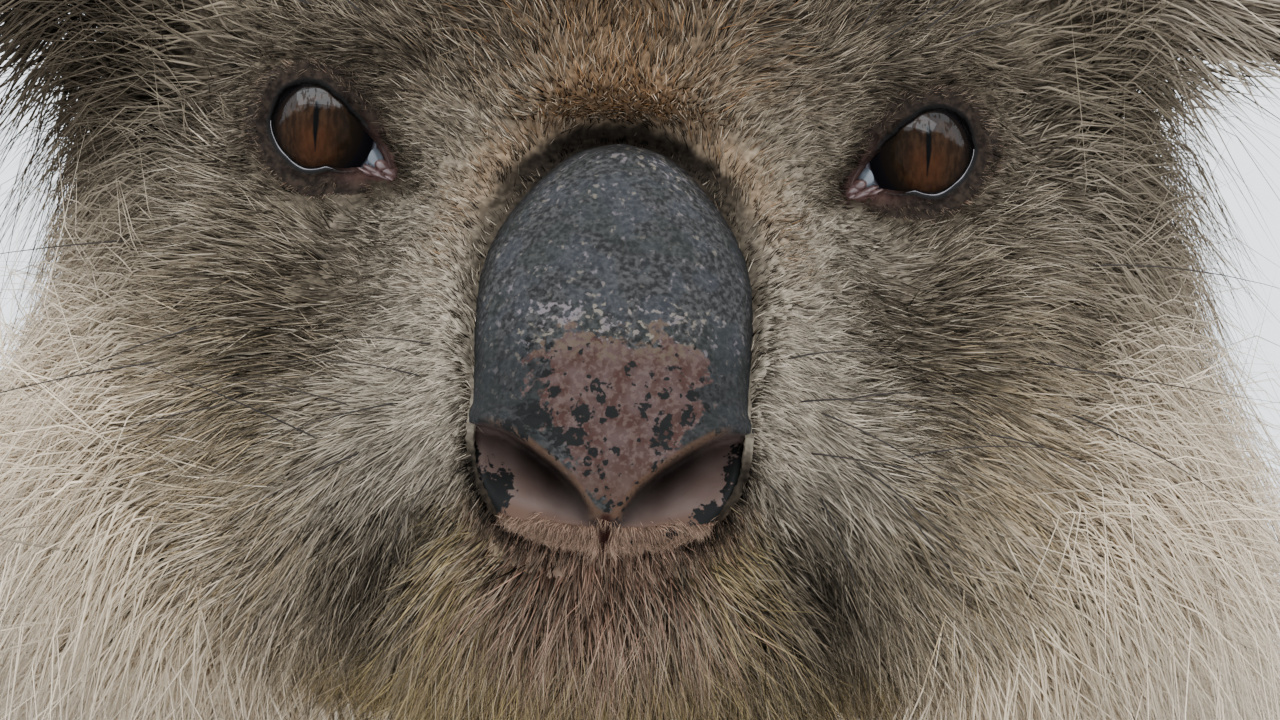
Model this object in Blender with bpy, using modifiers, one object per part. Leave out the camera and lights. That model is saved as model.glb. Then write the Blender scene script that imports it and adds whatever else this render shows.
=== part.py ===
"""A life-size koala sitting on its rump, forepaws planted between its hind feet, as a still museum model.

Run with: blender --background --python part.py
Units are metres, +Z is up, and the animal faces -Y, so its own left side is at +X.
The origin is on the floor under the middle of the animal's bounding box.

Every sub-part is one closed solid whose surface is the outside of the coat. A part is a few ellipsoids and
limb segments, given in millimetres, fused by a voxel remesh and smoothed. Neighbours are then trimmed
against each other with a hairline gap, so that they meet without overlapping.
"""

import math

import bmesh
import bpy
from mathutils import Euler, Matrix, Vector

MM = 0.001

# Driving dimensions, in millimetres.
EYE_HEIGHT = 362.0  # floor to the line between the pupils
HEAD_FORWARD = 69.0  # how far that line stands in front of the hips' middle
STAND_BACK = 12.5  # moves the finished animal back, so that the origin is under its middle
HEAD_ROLL = 2.35  # degrees that the head leans to the animal's left
EYE_SPACING = 71.4  # pupil to pupil
EYEBALL_RADIUS = 8.6
EYEBALL_INSET = 1.2  # how much nearer the middle the eyeball's centre lies than its pupil
EYEBALL_SETBACK = 1.6  # how far behind the head's own middle point that centre lies
GAP = 0.35  # hairline between two neighbours
NECK_CUT = ((0, 34, 352), (0, -0.45, 0.89))  # a point and the normal of the plane that parts neck and trunk
BODY_SIZE = (0.94, 0.94, 0.86)  # neck, trunk and limbs are given for a taller animal and scaled to this head
FLOOR_DEPTH = 60.0  # how deep the floor cutter reaches

FUR_BROWN = (0.20, 0.16, 0.125)
FUR_GREY = (0.26, 0.23, 0.20)
FUR_CREAM = (0.62, 0.55, 0.45)
NOSE_GREY = (0.055, 0.055, 0.062)
EYE_BROWN = (0.10, 0.035, 0.012)
CLAW_HORN = (0.07, 0.055, 0.045)

HEAD_PLACE = Matrix.Translation(Vector((0, -HEAD_FORWARD, EYE_HEIGHT)) * MM) @ Matrix.Rotation(
    math.radians(HEAD_ROLL), 4, "Y"
)
BODY_PLACE = Matrix.Diagonal((*BODY_SIZE, 1))


# ---------------------------------------------------------------- the scene


def cleared_scene():
    """Empties the scene and returns the collections for the animal and for its cutters."""
    for old in list(bpy.data.objects):
        bpy.data.objects.remove(old)
    groups = []
    for name in ("Koala", "Cutters"):
        group = bpy.data.collections.new(name)
        bpy.context.scene.collection.children.link(group)
        groups.append(group)
    return groups


KOALA, CUTTERS = cleared_scene()


def finish_of(name, colour, roughness):
    """A plain material, made once for each name."""
    made = bpy.data.materials.get(name) or bpy.data.materials.new(name)
    made.use_nodes = True
    surface = made.node_tree.nodes["Principled BSDF"]
    surface.inputs["Base Color"].default_value = (*colour, 1)
    surface.inputs["Roughness"].default_value = roughness
    surface.inputs["Metallic"].default_value = 0
    return made


BROWN_FUR = finish_of("fur_brown", FUR_BROWN, 0.85)
GREY_FUR = finish_of("fur_grey", FUR_GREY, 0.85)
CREAM_FUR = finish_of("fur_cream", FUR_CREAM, 0.85)
NOSE_SKIN = finish_of("nose_skin", NOSE_GREY, 0.5)
EYE_WET = finish_of("eye", EYE_BROWN, 0.05)
CLAW = finish_of("claw", CLAW_HORN, 0.4)


# ---------------------------------------------------------------- shapes


def ellipsoid(shape, centre, radii, turn=(0, 0, 0), place=BODY_PLACE):
    """Adds an ellipsoid. centre and radii are in millimetres, turn in degrees about X, Y and Z."""
    spin = Euler([math.radians(a) for a in turn]).to_matrix().to_4x4()
    size = Matrix.Diagonal((*[r * MM for r in radii], 1))
    bmesh.ops.create_uvsphere(
        shape,
        u_segments=20,
        v_segments=12,
        radius=1,
        matrix=place @ Matrix.Translation(Vector(centre) * MM) @ spin @ size,
    )


def limb(shape, joints, place=BODY_PLACE):
    """Adds a limb: a ball at each joint and a tapered drum between two joints. A joint is (x, y, z, radius)."""
    for *centre, radius in joints:
        ellipsoid(shape, centre, (radius,) * 3, place=place)
    for (*start, thick), (*end, thin) in zip(joints, joints[1:]):
        start, end = Vector(start), Vector(end)
        along = (end - start).to_track_quat("Z", "Y").to_matrix().to_4x4()
        bmesh.ops.create_cone(
            shape,
            cap_ends=True,
            segments=28,
            radius1=thick * MM,
            radius2=thin * MM,
            depth=(end - start).length * MM,
            matrix=place @ Matrix.Translation((start + end) / 2 * MM) @ along,
        )


def chain(shape, blobs, steps=4, place=BODY_PLACE):
    """Adds a row of ellipsoids that slides evenly from each (centre, radii) to the next, as one smooth sausage."""
    for (centre, radii), (next_centre, next_radii) in zip(blobs, blobs[1:]):
        for step in range(steps + 1):
            share = step / steps
            middle = Vector(centre).lerp(Vector(next_centre), share)
            size = Vector(radii).lerp(Vector(next_radii), share)
            ellipsoid(shape, middle, size, place=place)


def mirrored(points, side):
    """points, which is one point or a list of joints, on the side given as 1 or -1."""
    if isinstance(points[0], (int, float)):
        return (points[0] * side, *points[1:])
    return [mirrored(point, side) for point in points]


def object_of(name, shape, group, finish=None):
    """An object that holds the bmesh."""
    mesh = bpy.data.meshes.new(name)
    bmesh.ops.recalc_face_normals(shape, faces=shape.faces)
    shape.to_mesh(mesh)
    shape.free()
    made = bpy.data.objects.new(name, mesh)
    group.objects.link(made)
    if finish:
        mesh.materials.append(finish)
    return made


def fused(name, shape, voxel, rounds, triangles, finish):
    """The bmesh's shapes as one soft solid: remeshed at voxel millimetres, smoothed, and thinned to triangles."""
    made = object_of(name, shape, KOALA, finish)
    remesh = made.modifiers.new("Fuse", "REMESH")
    remesh.mode = "VOXEL"
    remesh.voxel_size = voxel * MM
    smooth = made.modifiers.new("Soften", "SMOOTH")
    smooth.factor = 0.5
    smooth.iterations = rounds
    baked(made)
    count = 2 * len(made.data.polygons)
    thin = made.modifiers.new("Thin", "DECIMATE")
    thin.ratio = min(1.0, triangles / count)
    thin.use_collapse_triangulate = True
    baked(made)
    made.data.shade_smooth()
    return made


def baked(made):
    """Applies an object's modifiers, so that later cuts start from a plain mesh."""
    graph = bpy.context.evaluated_depsgraph_get()
    mesh = bpy.data.meshes.new_from_object(made.evaluated_get(graph))
    old = made.data
    made.modifiers.clear()
    made.data = mesh
    mesh.name = made.name
    bpy.data.meshes.remove(old)
    return made


def cutter_of(name, shape):
    """An object that only cuts others: shown as wire, and no part of the animal."""
    cutter = object_of(name + "_cutter", shape, CUTTERS)
    cutter.display_type = "WIRE"
    cutter.hide_render = True
    return cutter


def grown(made):
    """A cutter: the object's shape as it is now, swollen by a hairline."""
    shape = bmesh.new()
    shape.from_mesh(made.data)
    cutter = cutter_of(made.name, shape)
    swell = cutter.modifiers.new("Swell", "DISPLACE")
    swell.strength = GAP * MM
    swell.mid_level = 0
    return cutter


def cut(made, *cutters):
    """Cuts the cutters out of the object."""
    for cutter in cutters:
        boolean = made.modifiers.new("Cut", "BOOLEAN")
        boolean.operation = "DIFFERENCE"
        boolean.object = cutter


def parted(made, name, point, normal, finish):
    """Splits a solid by a plane. What lies ahead of the plane becomes a new object; both cut faces are flat."""
    point, normal = BODY_PLACE @ (Vector(point) * MM), Vector(normal).normalized()
    ahead = bpy.data.objects.new(name, made.data.copy())
    KOALA.objects.link(ahead)
    ahead.data.name = name
    ahead.data.materials.clear()
    ahead.data.materials.append(finish)
    for piece, side in ((made, -1), (ahead, 1)):
        shape = bmesh.new()
        shape.from_mesh(piece.data)
        bmesh.ops.bisect_plane(
            shape,
            geom=[*shape.verts, *shape.edges, *shape.faces],
            plane_co=point + normal * (side * GAP * MM / 2),
            plane_no=normal * side,
            clear_inner=True,
        )
        rim = [edge for edge in shape.edges if edge.is_boundary]
        bmesh.ops.holes_fill(shape, edges=rim)
        bmesh.ops.triangulate(shape, faces=[f for f in shape.faces if len(f.verts) > 4])
        shape.to_mesh(piece.data)
        shape.free()
    return ahead


def floor_cutter():
    """A block under the floor, which leaves a small flat on whatever rests there."""
    shape = bmesh.new()
    middle = Matrix.Translation((0, 0, -FLOOR_DEPTH * MM / 2))
    bmesh.ops.create_cube(shape, size=1, matrix=middle @ Matrix.Diagonal((1, 1, FLOOR_DEPTH * MM, 1)))
    return cutter_of("floor", shape)


# ---------------------------------------------------------------- head


def make_head():
    """Cranium, brow, muzzle and full cheeks. Positions run from the middle of the line between the pupils."""
    shape = bmesh.new()
    for centre, radii in (
        ((0, 42, 11), (63, 56, 49)),  # cranium
        ((0, 8, 18), (43, 29, 32)),  # forehead
        ((0, 3, 0), (36, 27, 27)),  # bridge beside the nose pad
        ((0, -11, -27), (33, 31, 28)),  # muzzle
        ((0, 24, -42), (60, 46, 27)),  # throat
    ):
        ellipsoid(shape, centre, radii, place=HEAD_PLACE)
    for side in (1, -1):
        cheek = [((41, 29, 4), (23, 28, 26)), ((40, 24, -28), (29, 40, 30)), ((44, 22, -42), (32, 40, 24))]
        chain(shape, [(mirrored(centre, side), radii) for centre, radii in cheek], place=HEAD_PLACE)
        puff = [((19, -9, -36), (20, 22, 19)), ((36, 2, -44), (26, 26, 20))]
        chain(shape, [(mirrored(centre, side), radii) for centre, radii in puff], place=HEAD_PLACE)
        ellipsoid(shape, (34 * side, 9, 17), (16, 12, 8), (0, 12 * side, 0), place=HEAD_PLACE)  # brow ridge
    return fused("head", shape, 3.0, 14, 860, GREY_FUR)


def make_lower_jaw():
    """The chin and the lower lip, tucked under the nose."""
    shape = bmesh.new()
    chin = [((0, -22, -51), (20, 20, 12)), ((0, -4, -52), (32, 30, 17))]
    chain(shape, chin, place=HEAD_PLACE)
    return fused("lower_jaw", shape, 2.2, 6, 130, CREAM_FUR)


def make_nose():
    """The long bare pad from between the eyes to the lip, with its two nostrils."""
    shape = bmesh.new()
    ellipsoid(shape, (0, -33.5, -18), (16.0, 11.5, 25), (-31, 0, 0), place=HEAD_PLACE)
    ellipsoid(shape, (0, -42, -35), (11, 10, 11), place=HEAD_PLACE)
    for side in (1, -1):
        ellipsoid(shape, (9.0 * side, -40, -38.5), (8.0, 9.5, 8.5), place=HEAD_PLACE)
    nose = fused("nose", shape, 1.2, 3, 170, NOSE_SKIN)
    for side in (1, -1):
        hollow = bmesh.new()
        ellipsoid(hollow, (10.2 * side, -51, -40), (6.8, 6, 3.6), (0, -28 * side, 0), place=HEAD_PLACE)
        cut(nose, cutter_of(f"nostril_{side}", hollow))
    return nose


def make_eye(label, side):
    """An eyeball, whose front shows between the lids."""
    shape = bmesh.new()
    bmesh.ops.create_uvsphere(
        shape,
        u_segments=12,
        v_segments=8,
        radius=EYEBALL_RADIUS * MM,
        matrix=HEAD_PLACE
        @ Matrix.Translation(Vector((side * (EYE_SPACING / 2 - EYEBALL_INSET), EYEBALL_SETBACK, 0)) * MM)
        @ Matrix.Rotation(math.radians(90), 4, "X"),
    )
    eye = object_of(f"eye_{label}", shape, KOALA, EYE_WET)
    eye.data.shade_smooth()
    return eye


def make_ear(label, side):
    """A round, shaggy ear: a thick disc, dished in front."""
    shape = bmesh.new()
    turn = (-8, 0, 24 * side)
    ellipsoid(shape, (82 * side, 40, 46), (38, 17, 37), turn, place=HEAD_PLACE)
    ellipsoid(shape, (62 * side, 38, 27), (20, 17, 24), (0, 30 * side, 0), place=HEAD_PLACE)
    ear = fused(f"ear_{label}", shape, 2.8, 5, 150, BROWN_FUR)
    dish = bmesh.new()
    ellipsoid(dish, (89 * side, 17, 48), (24, 15, 24), turn, place=HEAD_PLACE)
    cut(ear, cutter_of(f"ear_bowl_{label}", dish))
    return ear


# ---------------------------------------------------------------- trunk


def make_trunk():
    """The rounded back, chest and belly in one piece, with the neck still on it."""
    shape = bmesh.new()
    spine = [
        ((0, -3, 384), (69, 62, 40)),  # nape
        ((0, 10, 346), (91, 79, 48)),  # base of the neck
        ((0, 31, 294), (109, 95, 66)),  # shoulders and chest
        ((0, 50, 222), (117, 106, 84)),  # mid trunk
        ((0, 62, 140), (122, 108, 100)),  # belly
        ((0, 66, 98), (118, 104, 103)),  # rump
    ]
    chain(shape, spine)
    return fused("trunk", shape, 5.0, 12, 640, BROWN_FUR)


# ---------------------------------------------------------------- limbs

# Each joint of a left limb: x, y, z and the limb's radius there.
UPPER_ARM = [(80, 2, 290, 47), (95, -24, 244, 42), (103, -48, 194, 36)]
FOREARM = [(103, -49, 190, 31), (88, -78, 136, 31), (67, -112, 76, 25), (58, -124, 44, 21)]
THIGH = [(84, 44, 100, 64), (112, -2, 114, 54), (128, -40, 112, 43)]
HAUNCH = ((92, 36, 84), (56, 80, 76), (0, 0, -16))
SHANK = [(128, -41, 110, 37), (128, -62, 74, 34), (126, -80, 44, 27)]

PALM = ((55, -136, 22.5), (24, 26, 23), (26, 0, 0))
HAND_DIGITS = {  # knuckle and tip of each finger; the first two stand apart from the other three
    "1": [(38, -130, 20, 9.5), (23, -141, 11, 8)],
    "2": [(42, -146, 21, 9.5), (33, -166, 11, 8)],
    "3": [(52, -150, 22, 9.5), (50, -176, 11, 8)],
    "4": [(62, -149, 22, 9.5), (65, -175, 11, 8)],
    "5": [(70, -142, 20, 9), (79, -163, 10.5, 7.5)],
}
SOLE = ((126, -110, 24), (26, 37, 25), (14, 0, 0))
FOOT_DIGITS = {  # the first toe is thick and clawless, the second and third are joined
    "1": [(112, -110, 19, 12), (98, -121, 13, 10.5)],
    "2": [(116, -136, 19, 8), (108, -158, 10.5, 7)],
    "3": [(121, -138, 19, 8), (118, -163, 10.5, 7)],
    "4": [(130, -137, 20, 10.5), (132, -166, 12, 9)],
    "5": [(140, -130, 19, 10.5), (148, -155, 12, 9)],
}
CLAWLESS = ("foot", "1")
CLAW_LENGTH = 18.0
CLAW_ROOT = 3.8
CLAW_STEPS = 4


def make_arm(label, side, core):
    """Upper arm, forearm and hand."""
    hand = make_paw(f"hand_{label}", side, PALM, HAND_DIGITS)
    shape = bmesh.new()
    limb(shape, mirrored(UPPER_ARM, side))
    arm = fused(f"upper_arm_{label}", shape, 4.0, 8, 200, BROWN_FUR)
    shape = bmesh.new()
    limb(shape, mirrored(FOREARM, side))
    forearm = fused(f"forearm_{label}", shape, 3.4, 8, 160, GREY_FUR)
    cut(forearm, grown(hand), grown(arm))
    for piece in (arm, forearm):
        cut(piece, *core)


def make_leg(label, side, core):
    """Thigh, shank and foot. The thigh is broadened by the haunch. Returns cutters of all three."""
    foot = make_paw(f"foot_{label}", side, SOLE, FOOT_DIGITS)
    shape = bmesh.new()
    limb(shape, mirrored(THIGH, side))
    centre, radii, (pitch, roll, yaw) = HAUNCH
    ellipsoid(shape, mirrored(centre, side), radii, (pitch, roll, yaw * side))
    thigh = fused(f"thigh_{label}", shape, 4.6, 10, 260, BROWN_FUR)
    shape = bmesh.new()
    limb(shape, mirrored(SHANK, side))
    shank = fused(f"shank_{label}", shape, 3.6, 8, 130, GREY_FUR)
    cutters = [grown(piece) for piece in (thigh, shank, foot)]
    cut(shank, cutters[0], cutters[2])
    for piece in (thigh, shank):
        cut(piece, *core)
    return cutters


def make_paw(name, side, pad, digits):
    """A hand or a foot: the pad and its digits in one piece, and a separate claw for each digit that has one."""
    shape = bmesh.new()
    centre, radii, turn = pad
    ellipsoid(shape, mirrored(centre, side), radii, turn)
    for joints in digits.values():
        limb(shape, mirrored(joints, side))
    paw = fused(name, shape, 2.2, 3, 240, GREY_FUR)
    cut(paw, FLOOR)
    for number, joints in digits.items():
        if (name.split("_")[0], number) != CLAWLESS:
            cut(paw, grown(make_claw(f"claw_{name}_{number}", mirrored(joints, side))))
    return paw


def make_claw(name, joints):
    """A curved claw: a tapering tube from inside the fingertip, arching forward and down to the floor."""
    (*knuckle, _), (*tip, _) = joints
    forward = Vector((tip[0] - knuckle[0], tip[1] - knuckle[1], 0)).normalized()
    root = Vector(tip) + Vector((0, 0, 1.5)) + forward * 2
    drop = root.z - 0.9
    curve = bpy.data.curves.new(name, "CURVE")
    curve.dimensions = "3D"
    curve.bevel_depth = CLAW_ROOT * MM
    curve.bevel_resolution = 1
    curve.use_fill_caps = True
    spline = curve.splines.new("POLY")
    spline.points.add(CLAW_STEPS - 1)
    for step, point in enumerate(spline.points):
        share = step / (CLAW_STEPS - 1)
        place = root + forward * (CLAW_LENGTH * share) - Vector((0, 0, drop * share**2.2))
        point.co = (*(BODY_PLACE @ (place * MM)), 1)
        point.radius = 1 - 0.86 * share**1.2
    tube = bpy.data.objects.new(name, curve)
    KOALA.objects.link(tube)
    graph = bpy.context.evaluated_depsgraph_get()
    shape = bmesh.new()
    shape.from_mesh(bpy.data.meshes.new_from_object(tube.evaluated_get(graph)))
    bpy.data.objects.remove(tube)
    bmesh.ops.remove_doubles(shape, verts=shape.verts, dist=1e-5)
    claw = object_of(name, shape, KOALA, CLAW)
    claw.data.shade_smooth()
    return claw


# ---------------------------------------------------------------- assembly

FLOOR = floor_cutter()

head = make_head()
jaw = make_lower_jaw()
nose = make_nose()
eyes = [make_eye(label, side) for label, side in (("left", 1), ("right", -1))]
ears = [make_ear(label, side) for label, side in (("left", 1), ("right", -1))]

jaw_cutter, head_cutter = grown(jaw), grown(head)
cut(head, grown(nose), jaw_cutter, *[grown(eye) for eye in eyes])
cut(jaw, grown(nose))
for ear in ears:
    cut(ear, head_cutter)

trunk = make_trunk()
trunk_cutter = grown(trunk)
neck = parted(trunk, "neck", *NECK_CUT, GREY_FUR)
for piece in (trunk, neck):
    cut(piece, head_cutter, jaw_cutter)
cut(trunk, FLOOR)

for label, side in (("left", 1), ("right", -1)):
    leg_cutters = make_leg(label, side, [trunk_cutter, FLOOR])
    make_arm(label, side, [trunk_cutter, head_cutter, *leg_cutters])

for made in (*KOALA.objects, *CUTTERS.objects):
    made.location.y = STAND_BACK * MM
bpy.context.view_layer.update()
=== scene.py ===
# %% [markdown]
# # A koala, life size and still
#
# This lesson builds the looks of a museum model: an adult koala that sits on its rump with its forepaws
# planted between its hind feet. The solid shapes are already there, packed as a fixed frame. Each solid
# is the outside of the coat of one part of the body. Here they get one skin, the bare skin of nose and
# lids, wet eyes, horn claws, whiskers, and a coat of separate hairs and locks.

# %% Load the solids
import math

import bmesh
import bpy
import numpy as np
from mathutils import Matrix, Vector
from mathutils.bvhtree import BVHTree
from mathutils.kdtree import KDTree


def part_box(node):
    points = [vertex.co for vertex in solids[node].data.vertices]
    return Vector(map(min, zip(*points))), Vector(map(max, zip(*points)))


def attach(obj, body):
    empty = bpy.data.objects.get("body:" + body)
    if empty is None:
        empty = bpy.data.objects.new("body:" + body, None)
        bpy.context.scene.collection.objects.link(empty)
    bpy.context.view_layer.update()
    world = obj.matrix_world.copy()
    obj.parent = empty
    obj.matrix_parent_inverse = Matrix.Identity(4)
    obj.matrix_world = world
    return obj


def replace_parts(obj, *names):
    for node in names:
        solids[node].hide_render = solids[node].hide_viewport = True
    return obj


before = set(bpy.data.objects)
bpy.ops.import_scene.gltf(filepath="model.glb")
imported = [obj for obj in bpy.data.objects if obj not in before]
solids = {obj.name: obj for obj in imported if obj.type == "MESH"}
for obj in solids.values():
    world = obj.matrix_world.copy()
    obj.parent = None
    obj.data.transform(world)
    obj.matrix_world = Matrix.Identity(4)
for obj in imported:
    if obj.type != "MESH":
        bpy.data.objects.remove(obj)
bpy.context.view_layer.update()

MM = 0.001
SIDES = (("left", 1), ("right", -1))

# %% [markdown]
# ## The head's own axes
#
# The head leans a little to one side. Everything on the face is easier to place in the head's own
# millimetres: x towards the animal's left, y towards the back of the head, z up, with zero midway
# between the pupils. The two eyeballs tell where that is: the line through their middles is the x axis,
# and the pupils' plane lies a little in front of it.

# %% Find the head
EYEBALL_SETBACK = 1.6


def middle_of(node):
    low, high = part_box(node)
    return (low + high) / 2


eye_line = middle_of("eye_left") - middle_of("eye_right")
lean = math.atan2(-eye_line.z, eye_line.x)
between = (middle_of("eye_left") + middle_of("eye_right")) / 2
HEAD = Matrix.Translation(between) @ Matrix.Rotation(lean, 4, "Y") @ Matrix.Scale(MM, 4)
HEAD = HEAD @ Matrix.Translation((0, -EYEBALL_SETBACK, 0))
HEAD_ARRAY = np.array(HEAD)
HEAD_BACK = np.array(HEAD.inverted())


def to_head(points):
    return points @ HEAD_BACK[:3, :3].T + HEAD_BACK[:3, 3]


def from_head(points):
    return points @ HEAD_ARRAY[:3, :3].T + HEAD_ARRAY[:3, 3]


face_middle = tuple(round(c, 3) for c in HEAD.translation)
print("the head leans", round(math.degrees(lean), 2), "degrees, its middle is at", face_middle)

# %% [markdown]
# ## The camera
#
# A face fills the picture only from close by or through a long lens. A long lens is kinder: it doesn't
# swell the nose. The picture is 150 mm wide where the eyes are, from 1.5 m away, and level.

# %% Place the camera
VIEW_WIDTH = 0.150
VIEW_DISTANCE = 1.5
SENSOR = 36.0
AIM = Vector((2.1, 0.0, -25.5))  # from the middle of the eyes, in unturned millimetres

lens = bpy.data.cameras.new("camera")
lens.sensor_width = SENSOR
lens.lens = SENSOR * VIEW_DISTANCE / VIEW_WIDTH
lens.clip_end = 30
camera = bpy.data.objects.new("camera", lens)
camera.location = HEAD.translation + AIM * MM - Vector((0, VIEW_DISTANCE, 0))
camera.rotation_euler = (math.radians(90), 0, 0)
bpy.context.scene.collection.objects.link(camera)
bpy.context.scene.camera = camera
print("lens", round(lens.lens), "mm")

# %% [markdown]
# ## Light and floor
#
# Fur looks soft under a wide, pale sky and one large lamp from above. The lamp also leaves the pale
# patch at the top of each wet eye. The floor is plain and pale.

# %% Light the room
SKY = (0.89, 0.94, 1.0)
SKY_STRENGTH = 2.5


def lamp(name, place, target, size, power, colour=(1, 1, 1)):
    light = bpy.data.lights.new(name, "AREA")
    light.shape = "RECTANGLE"
    light.size, light.size_y = size
    light.energy = power
    light.color = colour
    holder = bpy.data.objects.new(name, light)
    holder.location = place
    holder.rotation_euler = (Vector(target) - Vector(place)).to_track_quat("-Z", "Y").to_euler()
    bpy.context.scene.collection.objects.link(holder)
    return holder


world = bpy.data.worlds.new("sky")
world.use_nodes = True
world.node_tree.nodes["Background"].inputs["Color"].default_value = (*SKY, 1)
world.node_tree.nodes["Background"].inputs["Strength"].default_value = SKY_STRENGTH
bpy.context.scene.world = world
lamp("soft_top", (-0.35, -1.1, 2.4), (0, 0, 0.35), (3.4, 1.0), 42, (0.90, 0.95, 1.0))
lamp("soft_back", (0.9, 1.6, 1.7), (0, 0, 0.3), (1.4, 1.4), 10)

floor_mesh = bpy.data.meshes.new("floor")
disc = bmesh.new()
bmesh.ops.create_circle(disc, cap_ends=True, segments=96, radius=4.0)
disc.to_mesh(floor_mesh)
disc.free()
floor = bpy.data.objects.new("floor", floor_mesh)
bpy.context.scene.collection.objects.link(floor)

# %% [markdown]
# ## Writing materials as sums
#
# A material is a net of small nodes. Wired one by one they are hard to read, so one small class wraps a
# socket and lets `+`, `-`, `*` and `/` add the Math nodes. Everything else comes from `Paint.node`, which
# takes the kind of node, its settings and what its sockets get.

# %% A little language for materials


class Value:
    """One output of a shader node. Arithmetic on it adds Math nodes to the material."""

    def __init__(self, paint, socket):
        self.paint, self.socket = paint, socket

    def _sum(self, operation, first, second):
        return self.paint.node("Math", {"operation": operation}, {0: first, 1: second})

    def __add__(self, other):
        return self._sum("ADD", self, other)

    def __sub__(self, other):
        return self._sum("SUBTRACT", self, other)

    def __rsub__(self, other):
        return self._sum("SUBTRACT", other, self)

    def __mul__(self, other):
        return self._sum("MULTIPLY", self, other)

    def __truediv__(self, other):
        return self._sum("DIVIDE", self, other)

    def __pow__(self, other):
        return self._sum("POWER", self, other)

    __radd__ = __add__
    __rmul__ = __mul__

    def most(self, other):
        return self._sum("MAXIMUM", self, other)

    def least(self, other):
        return self._sum("MINIMUM", self, other)

    def size(self):
        return self._sum("ABSOLUTE", self, 0.0)

    def between(self, low, high):
        """0 below low, 1 above high, and a soft step from one to the other."""
        ends = {"From Min": low, "From Max": high}
        return self.paint.node("MapRange", {"interpolation_type": "SMOOTHSTEP"}, {"Value": self, **ends})


class Paint:
    """A material being made. fixed names sockets of its shader that are the same all over."""

    def __init__(self, name, **fixed):
        self.material = bpy.data.materials.new(name)
        self.material.use_nodes = True
        self.tree = self.material.node_tree
        self.shader = self.tree.nodes["Principled BSDF"]
        for socket, value in fixed.items():
            self.shader.inputs[socket.replace("_", " ")].default_value = value

    def node(self, kind, settings=None, inputs=None, output=0):
        made = self.tree.nodes.new("ShaderNode" + kind)
        for name, value in (settings or {}).items():
            setattr(made, name, value)
        for name, value in (inputs or {}).items():
            self.feed(made.inputs[name], value)
        return Value(self, made.outputs[output])

    def feed(self, socket, value):
        if isinstance(value, Value):
            self.tree.links.new(value.socket, socket)
        elif isinstance(value, tuple) and len(value) == 3 and socket.type == "RGBA":
            socket.default_value = (*value, 1)
        else:
            socket.default_value = value

    def mask(self, name):
        """A number that the mesh carries at each of its points."""
        return self.node("Attribute", {"attribute_name": name}, output="Fac")

    def noise(self, grain, detail=2.0, stretch=None):
        """Cloudy noise with lumps of about grain millimetres."""
        place = self.node("TexCoord", output="Object")
        if stretch:
            place = self.node("Mapping", inputs={"Vector": place, "Scale": stretch})
        return self.node("TexNoise", inputs={"Vector": place, "Scale": 1 / (grain * MM), "Detail": detail})

    def cells(self, grain):
        """The distance to the nearest of many scattered points, about grain millimetres apart."""
        place = self.node("TexCoord", output="Object")
        return self.node("TexVoronoi", {"feature": "F1"}, {"Vector": place, "Scale": 1 / (grain * MM)})

    def mix(self, share, first, second, blend="MIX"):
        settings = {"data_type": "RGBA", "blend_type": blend}
        return self.node("Mix", settings, {0: share, 6: first, 7: second}, output=2)

    def bump(self, height, depth):
        """Tilts the surface as height, from 0 to 1, would over depth millimetres."""
        return self.node("Bump", inputs={"Height": height, "Distance": depth * MM, "Strength": 1.0})

    def finish(self, **varied):
        for socket, value in varied.items():
            self.feed(self.shader.inputs[socket.replace("_", " ")], value)
        return self.material


pale_floor = Paint("pale_floor", Roughness=0.7)
floor_mesh.materials.append(pale_floor.finish(Base_Color=pale_floor.mix(
    pale_floor.noise(9.0), (0.70, 0.71, 0.73), (0.74, 0.75, 0.77))))
print("floor and first material made")

# %% [markdown]
# ## Meshes as arrays
#
# A coat is far too many hairs to make with tools one at a time. numpy makes them all at once, as arrays
# of points and triangles, and one helper hands such arrays to Blender with the numbers that each point
# carries for its material.

# %% From arrays to objects


def mesh_of(name, points, faces, numbers=None, smooth=True):
    """A mesh from an array of points and one of faces, which all have as many corners."""
    mesh = bpy.data.meshes.new(name)
    mesh.vertices.add(len(points))
    mesh.vertices.foreach_set("co", np.ascontiguousarray(points, np.float32).ravel())
    mesh.loops.add(faces.size)
    mesh.loops.foreach_set("vertex_index", np.ascontiguousarray(faces, np.int32).ravel())
    mesh.polygons.add(len(faces))
    mesh.polygons.foreach_set("loop_start", np.arange(0, faces.size, faces.shape[1], dtype=np.int32))
    mesh.update(calc_edges=True)
    for key, values in (numbers or {}).items():
        layer = mesh.attributes.new(key, "FLOAT", "POINT")
        layer.data.foreach_set("value", np.ascontiguousarray(values, np.float32))
    if smooth:
        mesh.shade_smooth()
    return mesh


def piece_of(mesh, material):
    """Shows a mesh as a piece of the koala."""
    piece = bpy.data.objects.new(mesh.name, mesh)
    bpy.context.scene.collection.objects.link(piece)
    mesh.materials.clear()
    mesh.materials.append(material)
    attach(piece, "root")
    return piece


def arrays_of(mesh):
    """A mesh's points and triangles."""
    points = np.empty(len(mesh.vertices) * 3, np.float32)
    mesh.vertices.foreach_get("co", points)
    mesh.calc_loop_triangles()
    faces = np.empty(len(mesh.loop_triangles) * 3, np.int32)
    mesh.loop_triangles.foreach_get("vertices", faces)
    return points.reshape(-1, 3).astype(float), faces.reshape(-1, 3)


def unit(vectors):
    return vectors / np.maximum(np.linalg.norm(vectors, axis=-1, keepdims=True), 1e-12)


def normals_of(points, faces):
    """Smooth normals at the points of a triangle mesh."""
    corners = points[faces]
    flat = np.cross(corners[:, 1] - corners[:, 0], corners[:, 2] - corners[:, 0])
    total = np.zeros_like(points)
    for axis in range(3):
        for corner in range(3):
            total[:, axis] += np.bincount(faces[:, corner], flat[:, axis], len(points))
    return unit(total)


def step(low, high, values):
    """A soft step from 0 at low to 1 at high."""
    share = np.clip((values - low) / (high - low), 0, 1)
    return share * share * (3 - 2 * share)


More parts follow.
